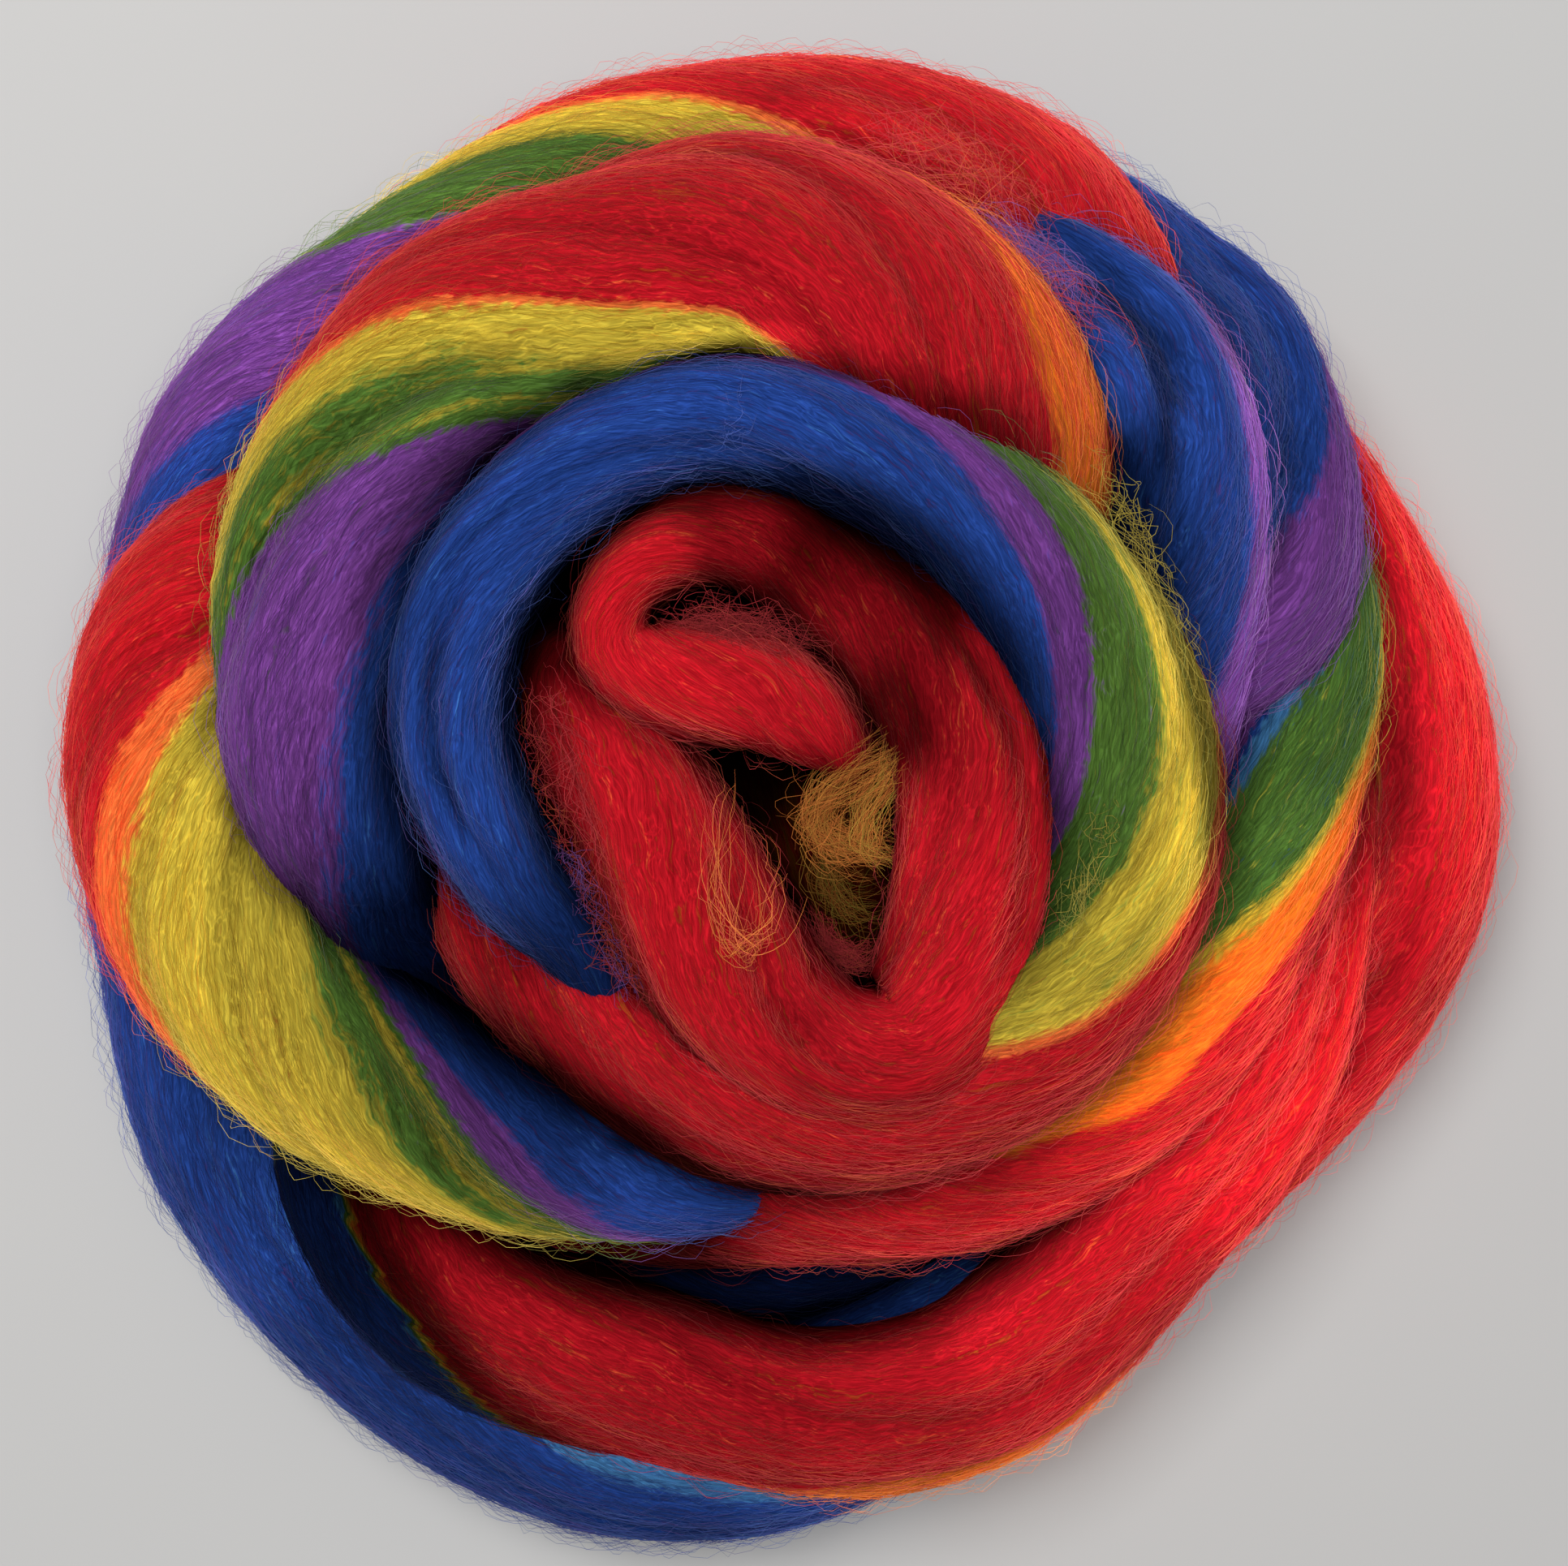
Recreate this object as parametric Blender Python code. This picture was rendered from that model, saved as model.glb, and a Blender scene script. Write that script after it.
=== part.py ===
"""A length of combed wool top (roving) wound round on itself into a loose nest.

The strand is one soft continuous length. It is laid down in stacked turns that run
anticlockwise seen from above, from the wide turns on the floor to the small ring and
the hairpin at the heart. Each turn is a short table of stations in millimetres; the
strand's section is swept through them, the turns are fused where they press together,
and the underside is flat where it rests. The origin is at the bottom centre, +Z up.
"""

import math

import bmesh
import bpy
import numpy as np

MM = 0.001

# Driving sizes of the strand and of its sampling, in millimetres
STEP_ALONG = 3.5        # spacing of the swept sections
SECTION_POINTS = 32     # points round one section
SECTION_SQUARENESS = 0.88   # 1 is an ellipse, less is fuller at the corners
FUSE_VOXEL = 2.4        # how finely the pressed turns are fused
FLOOR_SHAVE = 0.8       # depth shaved flat where the nest rests
FLOOR_LEVEL = 0.0
SOFTENING_PASSES = 3
SOFTENING_FACTOR = 0.5
NEST_TRIANGLES = 10600

COLOUR_WOOL_RED = (0.52, 0.012, 0.020, 1.0)
WOOL_ROUGHNESS = 0.95

# Stations of each turn, in winding order. x, y: centre line in plan. z: its height.
# wide, thick: the section. lean: degrees by which the outer edge hangs lower.
TURNS = {
    #     x    y   z  wide thick lean
    "upper_right_blue": (
        (54, 1, 26, 26, 16, 0),
        (63, 13, 30, 31, 19, 8),
        (70, 22, 33, 33, 21, 15),
        (76, 32, 34, 34, 21, 20),
        (77, 43, 33, 34, 21, 22),
        (76, 54, 30, 34, 22, 22),
        (74, 64, 26, 34, 22, 20),
        (70, 72, 21, 34, 22, 14),
        (62, 79, 17, 34, 23, 8),
        (42, 93, 11, 34, 25, 0),
    ),
    "floor_run_back": (
        (25, 97, 11, 34, 25, 0),
        (-16, 97, 11, 34, 25, 0),
        (-56, 82, 11, 34, 25, 0),
        (-84, 50, 11, 34, 25, 0),
        (-97, 12, 11, 35, 25, 0),
    ),
    "outer_front_blue": (
        (-101, -8, 11, 36, 26, 0),
        (-99, -28, 11, 36, 26, 0),
        (-90, -63, 11, 36, 26, 0),
        (-67, -89, 11, 36, 26, 0),
        (-32, -109, 11, 36, 26, 0),
        (0, -109, 11, 35, 25, 0),
        (25, -97, 11, 33, 24, 0),
        (59, -71, 10, 34, 24, 0),
    ),
    "outer_right_red": (
        (74, -57, 10, 35, 25, 0),
        (97, -30, 11, 36, 26, 0),
        (103, -5, 11, 36, 26, 0),
        (98, 21, 11, 36, 26, 0),
        (82, 51, 10, 35, 24, 0),
        (72, 64, 10, 34, 24, 0),
    ),
    "floor_run_inner": (
        (59, 74, 10, 34, 24, 0),
        (23, 83, 10, 34, 24, 0),
        (-19, 77, 10, 34, 24, 0),
        (-53, 59, 10, 34, 24, 0),
        (-71, 28, 10, 34, 24, 0),
        (-76, -5, 10, 34, 24, 0),
        (-75, -38, 11, 34, 24, 0),
    ),
    "lower_front_red": (
        (-74, -63, 16, 34, 21, 6),
        (-56, -86, 19, 33, 22, 15),
        (-23, -99, 19, 32, 22, 15),
        (5, -105, 18, 29, 22, 15),
        (34, -98, 18, 31, 22, 15),
        (61, -70, 19, 32, 22, 15),
        (79, -43, 20, 32, 22, 20),
        (85, -7, 19, 32, 21, 15),
    ),
    "tuck_below_right": (
        (84, 9, 18, 32, 20, 10),
        (81, 25, 16, 32, 19, 5),
        (75, 42, 15, 32, 19, 0),
        (66, 55, 16, 32, 19, 0),
        (57, 67, 20, 33, 20, 5),
    ),
    "outer_back_striped": (
        (50, 78, 25, 33, 21, 10),
        (38, 93, 29, 34, 22, 18),
        (17, 101, 29, 34, 22, 18),
        (-9, 102, 29, 34, 22, 18),
        (-33, 96, 29, 34, 22, 18),
        (-65, 76, 29, 34, 22, 18),
        (-89, 53, 28, 34, 22, 16),
        (-96, 24, 25, 33, 20, 10),
    ),
    "tuck_below_left": (
        (-93, 6, 23, 33, 19, 5),
        (-90, -10, 22, 33, 18, 0),
        (-83, -26, 22, 33, 18, 0),
        (-72, -41, 22, 33, 18, 0),
        (-59, -52, 22, 33, 18, 0),
        (-43, -59, 23, 32, 19, 0),
    ),
    "middle_front_green": (
        (-28, -63, 25, 31, 20, 5),
        (2, -64, 28, 31, 22, 15),
        (29, -62, 28, 31, 22, 15),
        (54, -49, 29, 31, 22, 15),
        (70, -27, 30, 31, 22, 15),
        (80, 1, 29, 31, 22, 15),
        (83, 26, 25, 31, 21, 10),
        (73, 51, 23, 31, 19, 0),
    ),
    "tuck_below_back": (
        (63, 61, 26, 32, 19, 0),
        (35, 72, 30, 33, 20, 0),
        (-1, 75, 31, 33, 20, 0),
        (-37, 67, 31, 33, 20, 0),
        (-65, 49, 33, 33, 20, 4),
    ),
    "left_yellow": (
        (-76, 43, 34, 33, 20, 8),
        (-93, 26, 37, 35, 22, 16),
        (-99, 5, 37, 35, 22, 18),
        (-93, -20, 37, 36, 22, 18),
        (-71, -44, 37, 35, 22, 14),
        (-40, -59, 36, 30, 22, 10),
        (-15, -63, 33, 23, 19, 4),
        (-3, -62, 30, 20, 17, 0),
    ),
    "tuck_below_front": (
        (10, -57, 27, 22, 17, 0),
        (25, -51, 26, 25, 18, 0),
        (38, -41, 27, 27, 19, 0),
        (48, -28, 28, 28, 19, 0),
        (54, -14, 30, 29, 20, 2),
    ),
    "right_blue": (
        (57, 1, 34, 30, 20, 5),
        (59, 14, 38, 31, 21, 12),
        (62, 27, 40, 32, 21, 18),
        (63, 39, 41, 32, 22, 20),
        (62, 50, 41, 32, 22, 20),
        (59, 59, 41, 32, 22, 20),
        (54, 67, 40, 32, 22, 18),
        (47, 73, 38, 31, 21, 14),
        (37, 79, 35, 30, 20, 8),
    ),
    "low_inner_loop": (
        (23, 81, 31, 30, 19, 0),
        (-12, 72, 21, 31, 20, 0),
        (-41, 46, 12, 32, 24, 0),
        (-52, 5, 10, 32, 24, 0),
        (-40, -54, 10, 33, 24, 0),
        (-8, -76, 10, 34, 24, 0),
        (40, -54, 10, 33, 24, 0),
        (50, -10, 10, 32, 24, 0),
    ),
    "low_heart_loop": (
        (32, 28, 10, 32, 24, 0),
        (-4, 34, 10, 32, 24, 0),
        (-24, 10, 10, 32, 24, 0),
        (-16, -18, 10, 32, 24, 0),
        (10, -26, 12, 32, 24, 0),
        (32, -10, 20, 32, 22, 0),
        (42, 14, 31, 31, 21, 0),
    ),
    "top_back_red": (
        (42, 33, 39, 32, 21, 5),
        (35, 53, 49, 36, 23, 18),
        (18, 74, 51, 39, 24, 24),
        (-6, 83, 51, 39, 24, 24),
        (-28, 77, 51, 39, 24, 24),
        (-52, 66, 51, 39, 24, 24),
        (-68, 43, 51, 37, 24, 24),
        (-72, 21, 50, 35, 24, 22),
        (-70, 0, 47, 32, 24, 18),
        (-64, -19, 38, 26, 20, 8),
    ),
    "middle_inner_loop": (
        (-58, -28, 32, 24, 18, 0),
        (-32, -46, 26, 28, 18, 0),
        (6, -48, 26, 28, 18, 0),
        (34, -23, 28, 28, 18, 0),
        (31, 14, 30, 28, 18, 0),
        (2, 36, 31, 28, 18, 0),
        (-30, 30, 31, 27, 18, 0),
        (-47, 5, 32, 25, 18, 0),
    ),
    "top_ring_blue": (
        (-49, -6, 34, 25, 18, 0),
        (-47, -16, 37, 26, 20, 5),
        (-39, -28, 40, 27, 21, 10),
        (-28, -38, 42, 28, 22, 14),
        (-8, -48, 45, 29, 22, 14),
        (15, -49, 46, 29, 23, 14),
        (39, -37, 48, 29, 23, 14),
        (52, -13, 50, 30, 23, 14),
        (50, 12, 52, 29, 24, 14),
        (37, 34, 53, 27, 25, 12),
        (15, 50, 53, 23, 26, 8),
        (-10, 56, 53, 20, 26, 5),
        (-32, 47, 53, 20, 26, 5),
        (-48, 28, 53, 20, 26, 5),
        (-50, 6, 52, 20, 26, 5),
        (-40, -15, 49, 19, 24, 0),
        (-32, -23, 46, 18, 22, 0),
        (-25, -32, 41, 17, 20, 0),
    ),
    "heart_underturn": (
        (-17, -41, 35, 20, 18, 0),
        (-5, -46, 31, 24, 18, 0),
        (10, -42, 28, 26, 18, 0),
        (18, -30, 28, 26, 18, 0),
        (14, -15, 29, 26, 18, 0),
        (3, -2, 31, 25, 18, 0),
        (-10, 10, 34, 22, 17, 0),
        (-23, 19, 39, 18, 16, 0),
    ),
    "heart_ring_red": (
        (-34, 21, 44, 14, 15, 0),
        (-35, 15, 47, 17, 17, 0),
        (-30, 6, 49, 23, 19, -6),
        (-23, -4, 50, 28, 21, -10),
        (-9, -28, 50, 29, 22, -12),
        (0, -38, 50, 26, 22, -12),
        (11, -43, 50, 24, 22, -12),
        (22, -40, 50, 25, 22, -12),
        (30, -18, 51, 27, 22, -12),
        (29, 6, 51, 26, 22, -10),
        (17, 24, 49, 24, 21, -4),
        (-2, 38, 48, 20, 19, 0),
    ),
    "heart_hairpin": (
        (-12, 39, 50, 18, 18, 0),
        (-21, 35, 52, 16, 18, 0),
        (-26, 28, 53, 14, 18, 0),
        (-26, 21, 53, 15, 18, 0),
        (-19, 17, 53, 18, 18, 0),
        (-11, 16, 53, 20, 18, 0),
        (-3, 15, 52, 20, 18, 0),
        (5, 11, 50, 17, 17, 0),
        (11, 6, 46, 12, 14, 0),
        (14, 0, 41, 7, 10, 0),
    ),
}


# Main creases that follow the twist of the strand. start, stop: shares of the turn's
# length. from_side, to_side: where on the top, -1 inner edge to 1 outer edge.
CREASES = {
    #  start  stop  from_side  to_side  wide  deep
    "top_back_red": ((0.45, 0.81, -0.95, 0.85, 7.0, 4.0),),
    "right_blue": ((0.50, 0.92, 0.00, 0.65, 6.0, 4.5),),
    "left_yellow": ((0.50, 0.79, -0.65, 0.90, 6.0, 3.0),),
    "heart_ring_red": ((0.50, 0.82, 0.60, 0.55, 4.0, 2.5),),
    "top_ring_blue": ((0.76, 0.90, 0.00, 0.25, 5.0, 3.0),),
    "upper_right_blue": ((0.20, 0.75, -0.30, 0.80, 6.0, 3.0),),
    "lower_front_red": ((0.50, 0.98, 0.10, 0.55, 6.0, 2.5),),
}
CREASE_FADE = 0.2       # share of a crease's length over which it starts and ends


def blend_between(before, start, end, after, share):
    """Centripetal Catmull-Rom value between two stations, at a share of 0 to 1."""
    points = [np.array(row, dtype=float) for row in (before, start, end, after)]
    knots = [0.0]
    for left, right in zip(points, points[1:]):
        gap = max(np.linalg.norm(right[:3] - left[:3]), 1e-6)
        knots.append(knots[-1] + math.sqrt(gap))
    when = knots[1] + share * (knots[2] - knots[1])
    level = points
    for order in (1, 2, 3):
        merged = []
        for i in range(len(level) - 1):
            low, high = knots[i], knots[i + order]
            merged.append(((high - when) * level[i] + (when - low) * level[i + 1]) / (high - low))
        level = merged
    return level[0]


def smooth_route():
    """The strand's samples, every few millimetres on one smooth curve.

    Each sample is the station's six values, the turn's name and the share of the
    turn's length that lies behind it.
    """
    names = [name for name, turn in TURNS.items() for _ in turn]
    stations = [row for turn in TURNS.values() for row in turn]
    last = len(stations) - 1
    samples, owners = [], []
    for i in range(last):
        start, end = stations[i], stations[i + 1]
        before, after = stations[max(i - 1, 0)], stations[min(i + 2, last)]
        pieces = max(1, round(math.dist(start[:3], end[:3]) / STEP_ALONG))
        samples += [blend_between(before, start, end, after, j / pieces) for j in range(pieces)]
        owners += [names[i]] * pieces
    samples.append(np.array(stations[last], dtype=float))
    owners.append(names[last])
    route = []
    for i, (sample, owner) in enumerate(zip(samples, owners)):
        first = owners.index(owner)
        route.append((sample, owner, (i - first) / owners.count(owner)))
    return route


def crease_depth(owner, share, side, half_wide):
    """How far the top of a section is drawn down at one place across it."""
    depth = 0.0
    for start, stop, from_side, to_side, wide, deep in CREASES.get(owner, ()):
        run = (share - start) / (stop - start)
        if not 0.0 < run < 1.0:
            continue
        fade = min(1.0, run / CREASE_FADE, (1.0 - run) / CREASE_FADE)
        offset = (side - (from_side + run * (to_side - from_side))) * half_wide
        depth += deep * fade * math.exp(-((2.0 * offset / wide) ** 2))
    return depth


def section_outline(wide, thick):
    """Points of one flattened section, from the middle of its underside round."""
    outline = []
    for i in range(SECTION_POINTS):
        angle = 2.0 * math.pi * i / SECTION_POINTS - math.pi / 2.0
        cos, sin = math.cos(angle), math.sin(angle)
        across = 0.5 * wide * math.copysign(abs(cos) ** SECTION_SQUARENESS, cos)
        rise = 0.5 * thick * math.copysign(abs(sin) ** SECTION_SQUARENESS, sin)
        outline.append((across, rise))
    return outline


def section_points(route, index):
    """Section of the strand at one sample, pressed flat where it meets the floor."""
    ahead = route[min(index + 1, len(route) - 1)][0][:3]
    behind = route[max(index - 1, 0)][0][:3]
    along = (ahead - behind) / np.linalg.norm(ahead - behind)
    outward = np.cross(along, (0.0, 0.0, 1.0))
    outward /= np.linalg.norm(outward)
    upward = np.cross(outward, along)
    sample, owner, share = route[index]
    centre = sample[:3]
    wide, thick, lean = sample[3:]
    tilt = math.radians(lean)
    side = outward * math.cos(tilt) - upward * math.sin(tilt)
    top = upward * math.cos(tilt) + outward * math.sin(tilt)
    ring = []
    for across, rise in section_outline(wide, thick):
        if rise > 0.0:
            rise -= crease_depth(owner, share, 2.0 * across / wide, wide / 2.0)
        point = centre + side * across + top * rise
        point[2] = max(point[2], FLOOR_LEVEL)
        ring.append(point * MM)
    return ring


def sweep_strand():
    """Mesh of the whole strand, swept as one closed tube through its route."""
    route = smooth_route()
    shape = bmesh.new()
    rings = [[shape.verts.new(point) for point in section_points(route, i)] for i in range(len(route))]
    for ring, following in zip(rings, rings[1:]):
        for i in range(SECTION_POINTS):
            j = (i + 1) % SECTION_POINTS
            shape.faces.new((ring[i], ring[j], following[j], following[i]))
    shape.faces.new(list(reversed(rings[0])))
    shape.faces.new(rings[-1])
    bmesh.ops.recalc_face_normals(shape, faces=shape.faces)
    mesh = bpy.data.meshes.new("swept_strand")
    shape.to_mesh(mesh)
    shape.free()
    return mesh


def evaluated_copy(obj):
    """Mesh of an object with its modifiers applied; the object is removed."""
    bpy.context.view_layer.update()
    graph = bpy.context.evaluated_depsgraph_get()
    mesh = bpy.data.meshes.new_from_object(obj.evaluated_get(graph))
    bpy.data.objects.remove(obj)
    return mesh


def fuse_turns(mesh):
    """One skin round all the turns, where they press into each other."""
    obj = bpy.data.objects.new("fusing", mesh)
    bpy.context.scene.collection.objects.link(obj)
    remesh = obj.modifiers.new("fuse", "REMESH")
    remesh.mode = "VOXEL"
    remesh.voxel_size = FUSE_VOXEL * MM
    return evaluated_copy(obj)


def keep_outer_skin(shape):
    """Drop every loose shell but the one with the widest reach."""
    shells = []
    waiting = set(shape.verts)
    while waiting:
        seed = waiting.pop()
        shell, edge_of_search = [seed], [seed]
        while edge_of_search:
            vert = edge_of_search.pop()
            for edge in vert.link_edges:
                other = edge.other_vert(vert)
                if other in waiting:
                    waiting.remove(other)
                    shell.append(other)
                    edge_of_search.append(other)
        shells.append(shell)
    shells.sort(key=lambda shell: max(v.co.x for v in shell) - min(v.co.x for v in shell))
    for shell in shells[:-1]:
        bmesh.ops.delete(shape, geom=shell, context="VERTS")


def soften_and_thin(mesh):
    """Smooth the fused skin and bring it down to its triangle budget."""
    mesh.calc_loop_triangles()
    share = NEST_TRIANGLES / len(mesh.loop_triangles)
    obj = bpy.data.objects.new("thinning", mesh)
    bpy.context.scene.collection.objects.link(obj)
    soften = obj.modifiers.new("soften", "SMOOTH")
    soften.factor = SOFTENING_FACTOR
    soften.iterations = SOFTENING_PASSES
    thin = obj.modifiers.new("thin", "DECIMATE")
    thin.ratio = share
    thin.use_collapse_triangulate = True
    return evaluated_copy(obj)


def rest_flat(shape):
    """Shave the underside to one level plane, so the nest rests flat on it."""
    cut = bmesh.ops.bisect_plane(
        shape,
        geom=shape.verts[:] + shape.edges[:] + shape.faces[:],
        plane_co=(0.0, 0.0, (FLOOR_LEVEL + FLOOR_SHAVE) * MM),
        plane_no=(0.0, 0.0, 1.0),
        clear_inner=True,
    )
    rim = [item for item in cut["geom_cut"] if isinstance(item, bmesh.types.BMEdge)]
    bmesh.ops.triangle_fill(shape, edges=rim, use_beauty=True, normal=(0.0, 0.0, -1.0))
    bmesh.ops.recalc_face_normals(shape, faces=shape.faces)
    bmesh.ops.triangulate(shape, faces=shape.faces)


def stand_on_origin(shape):
    """Move the nest so that the origin is at the middle of its footprint."""
    places = np.array([vert.co for vert in shape.verts])
    middle = (places.min(axis=0) + places.max(axis=0)) / 2.0
    middle[2] = places[:, 2].min()
    bmesh.ops.translate(shape, verts=shape.verts, vec=[-value for value in middle])


def wool_material():
    """Matte combed wool."""
    material = bpy.data.materials.new("combed_wool")
    material.use_nodes = True
    shader = material.node_tree.nodes["Principled BSDF"]
    shader.inputs["Base Color"].default_value = COLOUR_WOOL_RED
    shader.inputs["Roughness"].default_value = WOOL_ROUGHNESS
    return material


def build_nest():
    """The wound nest: one solid of the strand's turns."""
    fused = fuse_turns(sweep_strand())
    shape = bmesh.new()
    shape.from_mesh(fused)
    keep_outer_skin(shape)
    shape.to_mesh(fused)
    shape.free()
    mesh = soften_and_thin(fused)
    shape = bmesh.new()
    shape.from_mesh(mesh)
    rest_flat(shape)
    keep_outer_skin(shape)
    stand_on_origin(shape)
    shape.to_mesh(mesh)
    shape.free()
    mesh.name = "roving_nest"
    mesh.shade_smooth()
    nest = bpy.data.objects.new("roving_nest", mesh)
    bpy.context.scene.collection.objects.link(nest)
    mesh.materials.clear()
    mesh.materials.append(wool_material())
    return nest


def main():
    """Empty the scene and build the nest."""
    for obj in list(bpy.data.objects):
        bpy.data.objects.remove(obj)
    build_nest()


main()
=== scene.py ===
"""Rainbow-dyed combed merino top, wound round on itself into a loose nest.

The strand is swept turn by turn through the same stations as its solid, with finer
bundles, creases and dyed stripes. Geometry Nodes lay loose fibres along the surface
and a haze of frizz over it. Lengths in the tables are millimetres; the scene is metres.
"""

import logging
import math
from dataclasses import dataclass, field
from enum import Enum

import bpy
import numpy as np
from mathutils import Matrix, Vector
from mathutils.bvhtree import BVHTree

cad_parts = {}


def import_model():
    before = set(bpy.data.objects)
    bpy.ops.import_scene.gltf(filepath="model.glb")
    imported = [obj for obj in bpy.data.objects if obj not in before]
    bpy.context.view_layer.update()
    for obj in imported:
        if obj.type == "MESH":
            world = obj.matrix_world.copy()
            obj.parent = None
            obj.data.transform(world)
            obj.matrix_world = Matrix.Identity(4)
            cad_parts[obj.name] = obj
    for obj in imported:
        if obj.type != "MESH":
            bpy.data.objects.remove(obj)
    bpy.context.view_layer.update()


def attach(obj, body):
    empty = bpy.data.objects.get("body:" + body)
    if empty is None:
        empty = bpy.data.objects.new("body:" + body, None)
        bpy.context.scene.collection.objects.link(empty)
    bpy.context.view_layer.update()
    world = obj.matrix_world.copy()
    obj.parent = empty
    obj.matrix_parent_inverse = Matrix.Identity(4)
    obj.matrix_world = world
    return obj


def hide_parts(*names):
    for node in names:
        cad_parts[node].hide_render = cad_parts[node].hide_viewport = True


LOG = logging.getLogger("combed_top_nest")

MM = 0.001
BODY = "root"
CAD_NODE = "roving_nest"

# Middle of the nest's outline in the stations' coordinates, and the depth its
# underside is pressed flat by, so that the strand stands where its solid stands
NEST_MIDDLE = (0.97, -4.75)
FLOOR_PRESS = 0.8

Row = tuple[float, ...]
Socket = bpy.types.NodeSocket


class Exposure(Enum):
    """How much of a turn shows, which sets how finely it is swept (mm along it)."""

    SHOWN = 2.8
    TUCKED = 8.0


@dataclass(frozen=True)
class Crease:
    """One main crease that follows the twist across the top of a turn.

    start, stop: shares of the turn's length. from_side, to_side: place across the
    top, -1 inner edge to 1 outer edge. wide, deep: millimetres.
    """

    start: float
    stop: float
    from_side: float
    to_side: float
    wide: float
    deep: float


@dataclass(frozen=True)
class Turn:
    """One turn of the strand.

    twist: share of the way round the strand that its fibres wind along the turn.
    stations: rows of x, y, z, wide, thick and lean, in winding order.
    """

    name: str
    exposure: Exposure
    twist: float
    stations: tuple[Row, ...]
    creases: tuple[Crease, ...] = ()


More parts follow.
